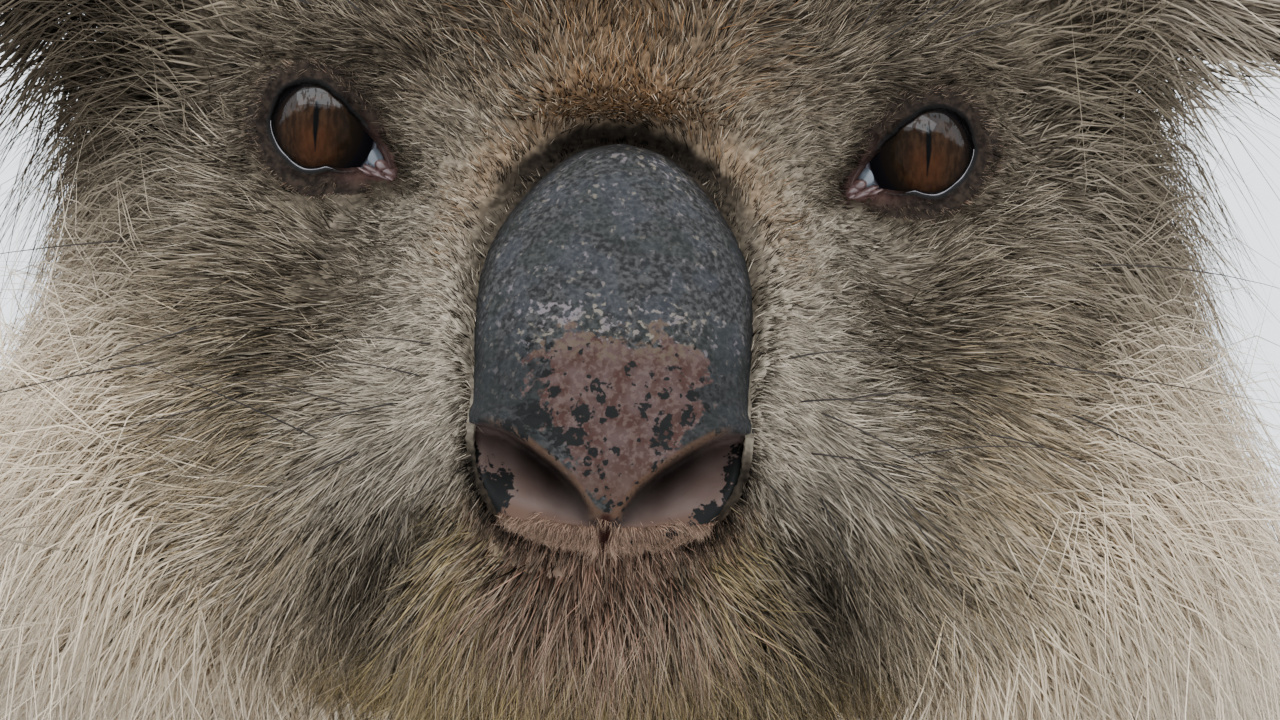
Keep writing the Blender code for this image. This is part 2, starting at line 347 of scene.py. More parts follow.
def hill(distance, reach):
    """1 at distance 0, sinking smoothly to nothing at about twice the reach."""
    return np.exp(-((distance / reach) ** 2))


# %% [markdown]
# ## One skin
#
# The solids meet with hairline gaps. Real skin has no such seams, so copies of all the solids of flesh
# are swollen by a hair's breadth until they overlap and then fused by a voxel remesh into one skin. The
# solids reach out to the tips of the coat, so the skin must then sink inwards by the depth of the coat:
# a centimetre and more on the trunk, next to nothing beside the nose.

# %% Fuse the flesh
VOXEL = 3.1
OVERLAP = 0.9
PARTS = ["head", "lower_jaw", "nose", "eye_left", "eye_right", "neck", "trunk"]
PARTS += [f"{part}_{side}" for side, _ in SIDES
          for part in ("ear", "upper_arm", "forearm", "hand", "thigh", "shank", "foot")]


def merged_copy(node):
    """A solid's shape with its loose triangles joined."""
    shape = bmesh.new()
    shape.from_mesh(solids[node].data)
    bmesh.ops.remove_doubles(shape, verts=shape.verts, dist=1e-6)
    shape.normal_update()
    return shape


def fused_skin():
    points, faces, count = [], [], 0
    for part in PARTS:
        shape = merged_copy(part)
        mesh = bpy.data.meshes.new(part)
        shape.to_mesh(mesh)
        shape.free()
        some, corners = arrays_of(mesh)
        points.append(some + normals_of(some, corners) * OVERLAP * MM)
        faces.append(corners + count)
        count += len(some)
        bpy.data.meshes.remove(mesh)
    lump = bpy.data.objects.new("lump", mesh_of("lump", np.vstack(points), np.vstack(faces)))
    bpy.context.scene.collection.objects.link(lump)
    remesh = lump.modifiers.new("Fuse", "REMESH")
    remesh.mode = "VOXEL"
    remesh.voxel_size = VOXEL * MM
    result = bpy.data.meshes.new_from_object(lump.evaluated_get(bpy.context.evaluated_depsgraph_get()))
    bpy.data.objects.remove(lump)
    return result


skin_mesh = fused_skin()
print("the fused skin has", len(skin_mesh.vertices), "points")

# %% [markdown]
# The face needs a finer net than the back, and the edges of nose and eyes the finest. Their faces are cut
# in four, once or twice, before anything is sculpted.

# %% Refine the face
def on_face(x, y, z):
    return y < 16 and abs(x) < 62 and -72 < z < 34


def round_nose_or_eyes(x, y, z):
    round_nose = abs(x) < 22 and -54 < z < 7 and not (abs(x) < 11 and -40 < z < -8)
    return y < 8 and (round_nose or math.hypot(abs(x) - 36, z) < 11)


def refine(mesh, chosen):
    """Cuts in four the faces at the places of the head that chosen picks."""
    shape = bmesh.new()
    shape.from_mesh(mesh)
    to_local = HEAD.inverted()
    near = []
    for edge in shape.edges:
        middle = (edge.verts[0].co + edge.verts[1].co) / 2
        if chosen(*(to_local @ middle)):
            near.append(edge)
    bmesh.ops.subdivide_edges(shape, edges=near, cuts=1, use_grid_fill=True)
    bmesh.ops.triangulate(shape, faces=shape.faces)
    shape.to_mesh(mesh)
    shape.free()


refine(skin_mesh, on_face)
refine(skin_mesh, round_nose_or_eyes)
outer, skin_faces = arrays_of(skin_mesh)
print("after refining:", len(outer), "points,", len(skin_faces), "triangles")

# %% [markdown]
# Every point of the skin has to know which part of the body it belongs to, because the coat's length,
# lie and colour depend on it. The nearest solid decides. Such a choice has hard borders, so the numbers
# that come from it are blurred over the net: each point takes the mean of its neighbours, many times.

# %% Which part, and how to blur


def nearest_parts(points):
    corners, triangles, owner, count = [], [], [], 0
    for number, part in enumerate(PARTS):
        some, faces = arrays_of(solids[part].data)
        corners.append(some)
        triangles.append(faces + count)
        owner += [number] * len(faces)
        count += len(some)
    tree = BVHTree.FromPolygons(np.vstack(corners).tolist(), np.vstack(triangles).tolist())
    return np.array([owner[tree.find_nearest(point)[2]] for point in points.tolist()])


def neighbour_table(faces, count):
    pairs = np.vstack([faces[:, [0, 1]], faces[:, [1, 2]], faces[:, [2, 0]]])
    pairs = np.unique(np.vstack([pairs, pairs[:, ::-1]]), axis=0)
    starts = np.searchsorted(pairs[:, 0], np.arange(count))
    return pairs[:, 1], starts, np.diff(np.append(starts, len(pairs)))


part_of = nearest_parts(outer)
others, starts, degrees = neighbour_table(skin_faces, len(outer))


def blur(values, rounds, strength=0.5):
    """Moves each point's value towards the mean of its neighbours', several times over."""
    values = np.array(values, float)
    share = degrees.reshape((-1,) + (1,) * (values.ndim - 1))
    for _ in range(rounds):
        mean = np.add.reduceat(values[others], starts, axis=0) / share
        values += (mean - values) * strength
    return values


def belongs(*names):
    """1 for the points of the named parts, 0 for the rest. A name may leave out the side."""
    chosen = [n for n, part in enumerate(PARTS) if part in names or part.rsplit("_", 1)[0] in names]
    return np.isin(part_of, chosen).astype(float)


print({part: int((part_of == n).sum()) for n, part in enumerate(PARTS)})

# %% [markdown]
# ## How long the coat is
#
# On the bridge of the nose the hairs are 2 or 3 mm long. They lengthen over the cheeks into a ruff of
# 30 mm, and the body wears a woolly coat of about 25 mm. The paws are short-haired again. From the
# lengths follows how deep the skin lies under the tips, because the hairs lie at a slant.

# %% Lengths and depths
head_points = to_head(outer)
X, Y, Z = head_points.T
on_head = belongs("head", "lower_jaw", "nose", "eye")
from_pad = np.hypot(X, Z + 20)  # distance from the middle of the nose pad, seen from the front

BODY_LENGTH = {"neck": 25, "trunk": 26, "ear": 17, "upper_arm": 21, "forearm": 17, "hand": 6.5,
               "thigh": 23, "shank": 17, "foot": 6.5}
BODY_DEPTH = {"neck": 10, "trunk": 12, "ear": 8, "upper_arm": 8.5, "forearm": 6.5, "hand": 2.2,
              "thigh": 10, "shank": 6.5, "foot": 2.2}
PAD_STEPS = [14, 20, 30, 45, 60, 75, 95]
HEAD_LENGTH = [2.0, 3.0, 4.6, 8.0, 14, 20, 20]
HEAD_DEPTH = [1.0, 1.3, 1.9, 3.2, 5.5, 7.5, 8.5]

ruff = step(-28, -50, Z) * step(24, 52, np.abs(X)) * on_head
hair_length = on_head * np.interp(from_pad, PAD_STEPS, HEAD_LENGTH) * (1 + 0.55 * ruff)
hair_length *= 1 - 0.35 * step(-16, 20, Z) * step(54, 42, np.abs(X)) * on_head
hair_length *= 1 - 0.3 * step(-48, -58, X) * step(-28, -16, Z) * step(4, -4, Z) * on_head
hair_length *= 1 + 0.9 * step(-48, -53, Z) * step(34, 22, np.abs(X)) * on_head * (Y < 5)
coat_depth = on_head * np.interp(from_pad, PAD_STEPS, HEAD_DEPTH)
near_eye = hill(np.hypot(np.abs(X) - 35, Z), 13) * on_head * (Y < 12)
hair_length *= 1 - 0.62 * near_eye
coat_depth *= 1 - 0.65 * near_eye
for part in BODY_LENGTH:
    hair_length += belongs(part) * BODY_LENGTH[part]
    coat_depth += belongs(part) * BODY_DEPTH[part]
hair_length, coat_depth = blur(hair_length, 12), blur(coat_depth, 14)
print("hair from", round(hair_length.min(), 1), "to", round(hair_length.max(), 1), "mm")

# %% Sink the skin
SINK_STEPS = 5
skin = blur(outer, 6)
for _ in range(SINK_STEPS):
    inward = blur(normals_of(skin, skin_faces), 2)
    skin -= inward * (coat_depth / SINK_STEPS * MM)[:, None]
    skin += (blur(skin, 1) - skin) * np.clip(coat_depth / 6, 0.1, 1)[:, None]
skin[:, 2] = np.maximum(skin[:, 2], 0.0012)
sunk_by = np.linalg.norm(skin - outer, axis=1).mean() / MM
print("the skin lies", round(float(sunk_by), 1), "mm inside on average")

# %% [markdown]
# ## The nose pad
#
# The bare pad is the koala's signature: a long, leathery spoon from between the eyes down to the lip,
# with two comma-shaped nostrils under an overhanging rim. It is modelled like a relief. Every point of a
# fine grid over its outline gets a height: a profile that bulges forward from top to bottom, sides that
# roll off, and a deep scoop below each nostril's rim.

# %% The pad's relief
PAD_WIDEST_LOW = (-34.5, 16.6)
PAD_OUTLINE = [  # height and half width
    (-0.6, 0.0), (-0.9, 2.8), (-1.6, 5.2), (-3.0, 7.4), (-4.8, 9.3), (-6.8, 11.1), (-8.8, 12.7),
    (-11.2, 14.2), (-13.5, 15.3), (-17, 16.2), (-22, 16.5), (-27, 16.3), (-31, 16.2), PAD_WIDEST_LOW,
    (-38, 16.2), (-39.7, 15.7), (-41.7, 14.6), (-43.4, 13.2), (-45, 11.2), (-46.3, 8.6), (-47.1, 5.2),
    (-47.4, 0.0),
]
PAD_TOP, PAD_BOTTOM = PAD_OUTLINE[0][0], PAD_OUTLINE[-1][0]
PAD_PROFILE = [(2, -24.0), (-1, -28.5), (-5, -33.5), (-10, -37.8), (-17, -42.5), (-24, -46.0), (-31, -48.5),
               (-37, -50.0), (-42, -50.0), (-48, -47.0)]  # height and how far forward the middle stands
NOSTRIL_RIM = [(0.0, -43.4), (1.3, -42.6), (3.4, -39.6), (6, -37.3), (9, -35.2), (12, -33.5), (14.4, -32.9),
               (17.5, -33.4)]  # distance from the middle and height


def along(table, values):
    """Reads a short table of pairs as a smooth curve."""
    keys, results = np.array(sorted(table)).T
    fine = np.linspace(keys[0], keys[-1], 200)
    curve = np.interp(fine, keys, results)
    for _ in range(12):
        curve[1:-1] = (curve[:-2] + 2 * curve[1:-1] + curve[2:]) / 4
    return np.interp(values, fine, curve)


def lower_edge(x):
    """The height of the pad's lower border, a given distance from the middle."""
    table = [(wide, high) for high, wide in PAD_OUTLINE[PAD_OUTLINE.index(PAD_WIDEST_LOW):]]
    widths, heights = np.array(sorted(table)).T
    return np.interp(np.abs(x), widths, heights)


def half_width(z):
    """Half the pad's width at a height. The ends are round, so they are read as a circle would be."""
    keys, widths = np.array(sorted(PAD_OUTLINE)).T
    return np.sqrt(np.maximum(np.interp(z, keys, widths**2), 0))


def pad_height(x, z):
    """How far forward the pad's surface stands, in the head's y, over a point of its outline."""
    wide = np.maximum(half_width(z), 0.5)
    across = np.clip(np.abs(x) / wide, 0, 1)
    y = along(PAD_PROFILE, z) + 5.5 * across**2.6 * step(-50, -20, z) + 3.6 * across**3
    rim = along(NOSTRIL_RIM, np.abs(x))
    below = rim - z
    lobe = 3.0 * step(14, 6, np.abs(x))  # the lip below the nostril bulges forward again
    share = np.clip(below / np.maximum(rim - lower_edge(x) - lobe, 1.0), 0, 1)
    depth = 10.5 * step(0.6, 6.5, np.abs(x)) * (1 - 0.5 * step(11.5, 16.5, np.abs(x)))
    scoop = step(0, 1.2, below) * (1 - share) ** 0.9
    y = y + depth * scoop
    y = y - 0.9 * hill(below + 0.9, 1.1) * step(1, 5, np.abs(x))  # the rim is a soft roll
    y = y + 1.4 * hill(x, 0.55) * step(-43.5, -45.0, z)  # the cleft under the septum
    return y


def rolled_edge(x, z):
    """The pad's last 2 mm turn back into the fur."""
    wide = np.maximum(half_width(z), 0.05)
    inside = np.minimum((wide - np.abs(x)), np.minimum(PAD_TOP + 0.4 - z, z - PAD_BOTTOM + 0.4) * 1.2)
    return 2.6 * (1 - step(0, 2.6, inside)) ** 2


tip_y = float(pad_height(np.array([0.0]), np.array([-38.0]))[0])
print("the pad stands", round(-tip_y, 1), "mm in front of the pupils")

# %% [markdown]
# The grid itself follows the outline: each row runs from one edge to the other, so the border is clean.
# A wall runs back from the border into the flesh, and a flat back closes the piece. Fine lumps are added
# to the relief, and the material does the still finer grain.

# %% Build the nose
PAD_ROWS = 168
PAD_COLUMNS = 120
PAD_BACK = 7.0


def lumps(points, grain, seed):
    """Smooth pseudo-random heights between about -1 and 1, with lumps of the given size."""
    draw = np.random.default_rng(seed)
    total = np.zeros(len(points))
    for _ in range(14):
        way = unit(draw.normal(size=3)) * 2 * math.pi / (grain * draw.uniform(0.8, 2.2))
        total += np.sin(points @ way + draw.uniform(0, 2 * math.pi))
    return total / 4.5


def build_pad():
    rows = PAD_TOP - (PAD_TOP - PAD_BOTTOM) * (1 - np.cos(np.linspace(0, math.pi, PAD_ROWS))) / 2
    columns = np.sin(np.linspace(-math.pi / 2, math.pi / 2, PAD_COLUMNS))
    z = np.repeat(rows[:, None], PAD_COLUMNS, 1)
    x = half_width(z) * columns[None, :]
    flat = np.stack([x, pad_height(x, z) + rolled_edge(x, z), z], -1)
    front = flat.reshape(-1, 3)
    grain = 0.12 * lumps(front, 1.5, 3) + 0.06 * lumps(front, 0.8, 4)
    scoop = step(0.4, 2.0, along(NOSTRIL_RIM, np.abs(front[:, 0])) - front[:, 2])
    front[:, 1] += grain * (1 - 0.85 * scoop)
    index = np.arange(PAD_ROWS * PAD_COLUMNS).reshape(PAD_ROWS, PAD_COLUMNS)
    quads = np.stack([index[:-1, :-1], index[1:, :-1], index[1:, 1:], index[:-1, 1:]], -1).reshape(-1, 4)
    loop = np.concatenate([index[0, :], index[1:, -1], index[-1, -2::-1], index[-2:0:-1, 0]])
    wall = front[loop] * [0.97, 1, 0.99] + [0, PAD_BACK, 0]
    ring = len(front) + np.arange(len(loop))
    following = np.roll(np.arange(len(loop)), -1)
    sides = np.stack([loop, loop[following], ring[following], ring], -1)
    shape = bmesh.new()
    verts = [shape.verts.new(p) for p in np.vstack([front, wall])]
    for quad in np.vstack([quads, sides]):
        shape.faces.new([verts[i] for i in quad])
    shape.faces.new([verts[i] for i in ring[::-1]])
    bmesh.ops.remove_doubles(shape, verts=shape.verts, dist=0.02)
    bmesh.ops.dissolve_degenerate(shape, edges=shape.edges, dist=0.01)
    bmesh.ops.recalc_face_normals(shape, faces=shape.faces)
    bmesh.ops.triangulate(shape, faces=[f for f in shape.faces if len(f.verts) > 4])
    mesh = bpy.data.meshes.new("nose_pad")
    shape.to_mesh(mesh)
    shape.free()
    return mesh


nose_mesh = build_pad()
local, _ = arrays_of(nose_mesh)
below_rim = along(NOSTRIL_RIM, np.abs(local[:, 0])) - local[:, 2]
nostril = step(0.2, 0.9, below_rim) * step(0.8, 2.6, np.abs(local[:, 0]))
for key, values in {
    "pad_x": local[:, 0],
    "pad_z": local[:, 2],
    "nostril": nostril,
    "below_rim": np.clip(below_rim, -4, 12),
    "edge": np.minimum(half_width(local[:, 2]) - np.abs(local[:, 0]), PAD_TOP - local[:, 2]),
}.items():
    nose_mesh.attributes.new(key, "FLOAT", "POINT").data.foreach_set("value", values.astype(np.float32))
nose_mesh.transform(HEAD)
nose_mesh.shade_smooth()
print("nose pad:", len(nose_mesh.polygons), "faces")

# %% [markdown]
# The pad's skin is slate grey and grainy, with pale flecks like lichen. Its lower middle has lost the
# dark pigment and shows pink, in a wedge that narrows down to the septum, with crisp black spots left
# over. The floor of each nostril is smooth and dusky pink, with painted shade that turns it black under
# the rim.

# %% Paint the nose
WEDGE_SPOTS = [  # middles of the black spots on the pink, then how far they reach across and up
    (-4.4, -34.4, 2.9, 1.1), (-8.7, -32.5, 2.0, 1.8), (-3.4, -31.7, 1.2, 1.2), (0.3, -31.4, 0.7, 0.7),
    (-1.8, -28.6, 0.5, 0.8), (-6.4, -29.4, 0.7, 0.7), (2.0, -26.4, 0.7, 0.8), (6.0, -34.1, 1.4, 2.0),
    (8.7, -31.5, 1.1, 1.5), (6.2, -29.1, 0.6, 0.6), (9.2, -29.2, 0.7, 0.7), (-1.7, -36.0, 0.6, 0.5),
    (0.8, -35.7, 0.5, 0.5), (-2.3, -37.1, 0.5, 0.5), (-11.5, -34.2, 2.2, 1.4),
]
RIM_SPOTS = [  # the same for the black round the nostrils' floors
    (-13.4, -40.9, 2.6, 3.2), (14.8, -38.6, 1.8, 4.2), (12.2, -43.2, 2.4, 1.8), (8.8, -45.3, 2.8, 1.3),
    (5.0, -46.7, 2.4, 0.9), (-15.6, -37.2, 1.0, 1.6),
]
PAD_BLACK = (0.0095, 0.0095, 0.0090)
pad = Paint("nose_skin", Specular_IOR_Level=0.035)
px, pz, inside = pad.mask("pad_x"), pad.mask("pad_z"), pad.mask("nostril")
deep = pad.mask("below_rim")
grains, fine, coarse = pad.cells(0.6), pad.noise(0.7, 3.0), pad.noise(3.4, 2.0)
grit = pad.noise(0.62, 4.0)


def blot(across, high, reach_x, reach_z):
    """1 in the middle of a ragged oval patch of the pad, sinking to 0 outside."""
    u, v = (px - across) / reach_x, (pz - high) / reach_z
    return 1 - (u * u + v * v + (coarse - 0.5) * 2.6 + (fine - 0.5) * 3.2).between(0.85, 1.15)


def ragged_dots(spacing, size):
    """Scattered specks with uneven edges."""
    return 1 - (pad.cells(spacing) + (fine - 0.5) * 0.9 + (coarse - 0.5) * 0.5).between(size, size + 0.07)


ragged = (coarse - 0.5) * 20 + (fine - 0.5) * 11
slate = pad.mix((grit + grains * 0.12).between(0.40, 0.78), (0.015, 0.0145, 0.014), (0.054, 0.052, 0.050))
slate = pad.mix(coarse.between(0.42, 0.66) * 0.45, slate, (0.038, 0.041, 0.048))
slate = pad.mix(pad.noise(6.0, 1.0).between(0.52, 0.62) * 0.35, slate, (0.020, 0.023, 0.020))
crust = 1 - ((pz + 21 + coarse * 3).size() / 5).between(0.3, 1.0)
crust = crust * (1 - (px.size() / 13).between(0.6, 1.0))
edge_light = 1 - ((px * px + (pz + 16) * (pz + 16)) / 250 - 0.85).size().between(0.05, 0.35)
crust = crust + edge_light * (pz + 9).between(-4, 5) * (px.between(-8, 6) * 0.7 + 0.25)
flecks = (pad.noise(0.85, 3.0) - 0.04 + crust * 0.06).between(0.52, 0.66)
flecks = flecks * (coarse.between(0.36, 0.58) * 0.55 + crust * 0.6)
pale = pad.mix(pad.noise(2.2).between(0.4, 0.6), (0.150, 0.128, 0.098), (0.140, 0.118, 0.122))
slate = pad.mix(flecks.between(0.0, 0.8) * 0.85, slate, pale)
low_sides = (pz * -1 + ragged * 0.15).between(20, 28) * px.size().between(4, 9)
slate = pad.mix(low_sides * 0.6, slate, (0.012, 0.0125, 0.012))
# dark skin and painted shade along the pad's edge, from the middle up, where it rolls back under the fur
edge_dark_and_shaded = (1 - pad.mask("edge").between(0.2, 2.2)) * (pz + 34).between(0, 12)
slate = pad.mix(edge_dark_and_shaded * 0.8, slate, (0.0075, 0.0065, 0.0055))
wedge_half = ((pz + 44.0) * 0.66 + 0.6).least((pz * -1 - 21.5) * 0.9 + 6.4).least(9.6)
wedge = (wedge_half - (px - 0.9).size() + ragged * 0.45).between(-0.5, 0.4)
wedge = wedge * (pz * -1 + ragged * 0.5).between(22.2, 23.4)
spots = ragged_dots(2.4, 0.19).most(ragged_dots(1.4, 0.16))
spots = spots * (px.size() + (pz * -1 - 26) * 0.6).between(-9.0, 3.0)
for place in WEDGE_SPOTS:
    spots = spots.most(blot(*place))
spots = spots * (1 - pad.noise(0.8, 3.0).between(0.54, 0.60) * 0.8)
pink = pad.mix(pad.noise(2.4).between(0.35, 0.65), (0.041, 0.0205, 0.0165), (0.061, 0.039, 0.035))
pink = pad.mix(grit.between(0.48, 0.60) * 0.45, pink, (0.098, 0.069, 0.059))
pink = pad.mix((pz * -1).between(36, 41) * 0.6, pink, (0.060, 0.036, 0.026))
skin_tone = pad.mix(wedge, slate, pink)
crusted = wedge * crust.between(0.4, 1.0) * fine.between(0.46, 0.58)
skin_tone = pad.mix(crusted * 0.6, skin_tone, (0.080, 0.060, 0.040))
blackened = spots * (pz * -1).between(21, 24) * (1 - (px.size() / 14).between(0.8, 1.0))
skin_tone = pad.mix(blackened, skin_tone, PAD_BLACK)
lip_of_rim = (1 - (deep * -1 - 0.1).between(0.05, 0.75)) * (1 - spots)
lip_of_rim = lip_of_rim * (1 - (px.size() / 15).between(0.75, 1.0))
skin_tone = pad.mix(lip_of_rim * 0.75, skin_tone, (0.078, 0.043, 0.026))
floor_tone = pad.mix(pad.noise(5.0).between(0.3, 0.7), (0.087, 0.057, 0.047), (0.108, 0.077, 0.066))
# painted shade: the nostril floor darkens to near black under the overhanging rim
shade = (1 - deep.between(1.0, 6.8)) * (1 - px.size().between(9.0, 13.5))
floor_tone = pad.mix(shade * 0.9, floor_tone, (0.009, 0.0065, 0.0055))
towards_lip = (pz * -1 + px.size() * 0.26).between(44.2, 45.8)
floor_tone = pad.mix(towards_lip * 0.85, floor_tone, (0.078, 0.044, 0.030))
blots = blot(1.3, -42.2, 1.1, 0.7)
for place in RIM_SPOTS:
    blots = blots.most(blot(*place))
floor_tone = pad.mix(blots, floor_tone, PAD_BLACK)
# painted shadow in the cleft under the septum
cleft = (1 - px.size().between(0.2, 0.9)) * (pz * -1).between(42.6, 43.4)
below_septum = (pz * -1).between(43.0, 44.0)
tone = pad.mix(inside.most(below_septum), skin_tone, floor_tone)
tone = pad.mix(cleft, tone, (0.022, 0.008, 0.006))
on_wedge = (wedge_half - (px - 0.9).size()).between(-2.0, 1.5)
relief = (grains * 0.7 + grit) * (1 - inside) * (1 - on_wedge * 0.7) + fine * 0.4
nose_paint = pad.finish(
    Base_Color=tone,
    Roughness=0.52 + fine * 0.2 - wedge * 0.12 - inside * 0.10,
    Normal=pad.bump(relief, 0.16),
)
nose_pad = piece_of(nose_mesh, nose_paint)
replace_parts(nose_pad, "nose")

# %% [markdown]
# ## The eyes
#
# A koala's pupil is an upright slit. The iris is brown, rust-coloured beside the slit, and almost fills
# the opening. The ball is a sphere with the clear cornea's bulge in front, and its wet shine comes from a
# coat layer. Each point of the ball carries its distance from the pupil's middle, sideways and up, and
# the material draws the iris from those.

# %% Eyeballs
EYEBALL_RADIUS = 8.6
PUPIL_OUT = 35.7
EYEBALL_OUT = 34.5
RINGS, SPOKES = 72, 96


def eyeball(side):
    centre = np.array([side * EYEBALL_OUT, EYEBALL_SETBACK, 0.0])
    gaze = unit(np.array([side * PUPIL_OUT, EYEBALL_SETBACK - 8.4, 0.0]) - centre)
    sideways = unit(np.cross(gaze, [0, 0, 1.0]) * -1)
    up = np.cross(sideways, gaze) * -1
    tilt = math.pi * (np.arange(RINGS + 1) / RINGS) ** 1.25
    turn = 2 * math.pi * np.arange(SPOKES) / SPOKES
    bulge = EYEBALL_RADIUS + 0.45 * hill(tilt, 0.50)
    ring_x = (bulge * np.sin(tilt))[:, None] * np.cos(turn)
    ring_z = (bulge * np.sin(tilt))[:, None] * np.sin(turn)
    ring_y = (bulge * np.cos(tilt))[:, None] * np.ones(SPOKES)
    flat = np.stack([ring_x, ring_z], -1).reshape(-1, 2)
    points = centre + flat[:, :1] * sideways + flat[:, 1:] * up + ring_y.reshape(-1, 1) * gaze
    index = np.arange(len(points)).reshape(RINGS + 1, SPOKES)
    nxt = np.roll(index, -1, 1)
    quads = np.stack([index[:-1], nxt[:-1], nxt[1:], index[1:]], -1).reshape(-1, 4)
    shape = bmesh.new()
    verts = [shape.verts.new(p) for p in points]
    for quad in quads:
        shape.faces.new([verts[i] for i in quad])
    bmesh.ops.remove_doubles(shape, verts=shape.verts, dist=1e-4)
    bmesh.ops.recalc_face_normals(shape, faces=shape.faces)
    mesh = bpy.data.meshes.new("eyeball")
    shape.to_mesh(mesh)
    shape.free()
    local = arrays_of(mesh)[0] - centre
    for key, values in {"eye_x": local @ sideways * side, "eye_z": local @ up}.items():
        mesh.attributes.new(key, "FLOAT", "POINT").data.foreach_set("value", values.astype(np.float32))
    mesh.transform(HEAD)
    mesh.shade_smooth()
    return mesh


IRIS_RADIUS = 5.5
eye = Paint("eye", Roughness=0.4, Specular_IOR_Level=0.0, Coat_Roughness=0.02, Coat_IOR=1.5)
ex, ez = eye.mask("eye_x"), eye.mask("eye_z")
from_pupil = eye.node("Math", {"operation": "SQRT"}, {0: ex * ex + ez * ez})
slit = (ez + 2.9).between(0.0, 3.6) * 0.27 + 0.03  # the slit narrows downwards to a point
slit_ends = (1 - (ez * -1).between(2.4, 2.9)) * (1 - ez.between(3.0, 3.6))
open_slit = (1 - (ex.size() - slit).between(-0.12, 0.16)) * slit_ends
streak = eye.noise(0.5, 3.0, stretch=(1, 1, 0.35))
ginger = (1 - (ex.size() - 0.6).between(0.0, 2.6)) * (1 - (ez + 1.8).size().between(0.8, 3.6))
iris = eye.mix(streak.between(0.35, 0.7), (0.012, 0.0065, 0.0038), (0.028, 0.0145, 0.0075))
iris = eye.mix(ginger * (0.25 + streak * 0.65), iris, (0.052, 0.0185, 0.0075))
iris = eye.mix((ex * -1).between(1.6, 5.0) * 0.75, iris, (0.008, 0.0065, 0.0045))
iris = eye.mix(from_pupil.between(3.6, 5.3), iris, (0.008, 0.006, 0.005))
iris = eye.mix(from_pupil.between(IRIS_RADIUS - 0.4, IRIS_RADIUS + 0.2), iris, (0.005, 0.0045, 0.006))
white = eye.mix(eye.noise(1.5).between(0.3, 0.7), (0.30, 0.34, 0.40), (0.22, 0.20, 0.23))
iris = eye.mix(from_pupil.between(IRIS_RADIUS + 0.9, IRIS_RADIUS + 1.5), iris, white)
# Painted reflection: the coat layer is thick only over the top of the ball, broken into streaks like
# mirrored twigs, so the wet reflection shows only there.
sheen = ez + (ex - 1.2).most(0.0) * 0.6
sheen = sheen + (eye.noise(1.1, 2.0) - 0.5) * 1.6 + (eye.noise(0.35, 1.0) - 0.5) * 0.5
reflected_twigs = eye.noise(0.8, 2.0, stretch=(1.6, 1, 0.25)).between(0.40, 0.46)
eye_paint = eye.finish(Base_Color=eye.mix(open_slit, iris, (0.002, 0.002, 0.002)),
                       Coat_Weight=sheen.between(2.4, 2.9) * (reflected_twigs * 0.75 + 0.25) * 0.54 + 0.05)
for label, side in SIDES:
    ball = eyeball(side)
    ball.name = f"eyeball_{label}"
    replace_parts(piece_of(ball, eye_paint), f"eye_{label}")
print("two eyes, irises", 2 * IRIS_RADIUS, "mm across")

# %% [markdown]
# ## Modelling the face
#
# A coat hides small forms but not the big ones: the brows, the hollows that the eyes sit in, the two
# furry puffs beside the nostrils, the creases at the corners of the mouth, the lower lip and the chin.
# Each is a smooth hill or hollow that pushes the skin forward or back. All of them are symmetrical.

# %% Hills and hollows
FACE_FORMS = [  # place across and up, reach across and up, millimetres forward
    (36, 0, 12, 10, -1.4),  # the hollow of the eye
    (33, 12, 12, 5, 2.4),  # the brow
    (33, -37, 9, 9, 3.4),  # the puff beside the nostril
    (20, -26, 4, 12, -0.8),  # the groove beside the pad
    (46, -16, 11, 14, 1.2),  # the cheekbone
    (0, -53, 15, 5.0, 1.8),  # the lower lip
    (0, -59, 17, 6, 1.8),  # the chin
    (0, 9, 14, 7, 0.4),  # where the forehead meets the pad
]
MOUTH = [  # from the middle of the lips out to the corner, and on down the fold beside the chin
    (0, -49.0), (5, -48.7), (9, -47.8), (13, -46.0), (16.5, -44.6), (20, -45.4), (23, -48.5), (25, -53),
    (26.5, -60),
]
MOUTH_DEPTH = 2.0


def from_line(x, z, line):
    """The distance of points from a line of short straight pieces."""
    best = np.full(x.shape, 1e9)
    for (ax, az), (bx, bz) in zip(line[:-1], line[1:]):
        share = ((x - ax) * (bx - ax) + (z - az) * (bz - az)) / ((bx - ax) ** 2 + (bz - az) ** 2)
        share = np.clip(share, 0, 1)
        best = np.minimum(best, np.hypot(x - ax - share * (bx - ax), z - az - share * (bz - az)))
    return best


local_skin = to_head(skin)
x, y, z = local_skin.T.copy()
facing = step(18, 2, y) * on_head
forward = np.zeros(len(x))
for across, high, reach_x, reach_z, amount in FACE_FORMS:
    forward += amount * np.exp(-(((np.abs(x) - across) / reach_x) ** 2) - ((z - high) / reach_z) ** 2)
crease = hill(from_line(np.abs(x), z, MOUTH), 1.7 + 1.6 * step(18, 24, np.abs(x)))
forward -= MOUTH_DEPTH * (0.6 + 0.4 * step(16, 22, np.abs(x))) * crease
local_skin[:, 1] -= forward * facing
print("forward by", round(float((forward * facing).max()), 1), "mm at most")

# %% [markdown]
# The skin must lie behind the nose pad and meet its edge all round, like leather set into felt. It also
# has to pass behind each eyeball and come up to the rims of the lids. Both are done with a distance from
# an outline: negative inside, positive outside.

# %% Make room for nose and eyes
EYE_OUTLINE = [  # from the pupil: towards the nose and up, once round the opening
    (-5.3, 0.6), (-4.95, 1.9), (-4.0, 4.2), (-1.6, 5.3), (0.3, 5.1), (1.9, 3.9), (3.8, 2.1), (5.7, 0.1),
    (7.2, -1.5), (8.6, -4.0), (8.2, -4.9), (5.0, -4.3), (1.3, -4.2), (-1.25, -4.6), (-3.2, -3.3),
    (-4.7, -1.4),
]


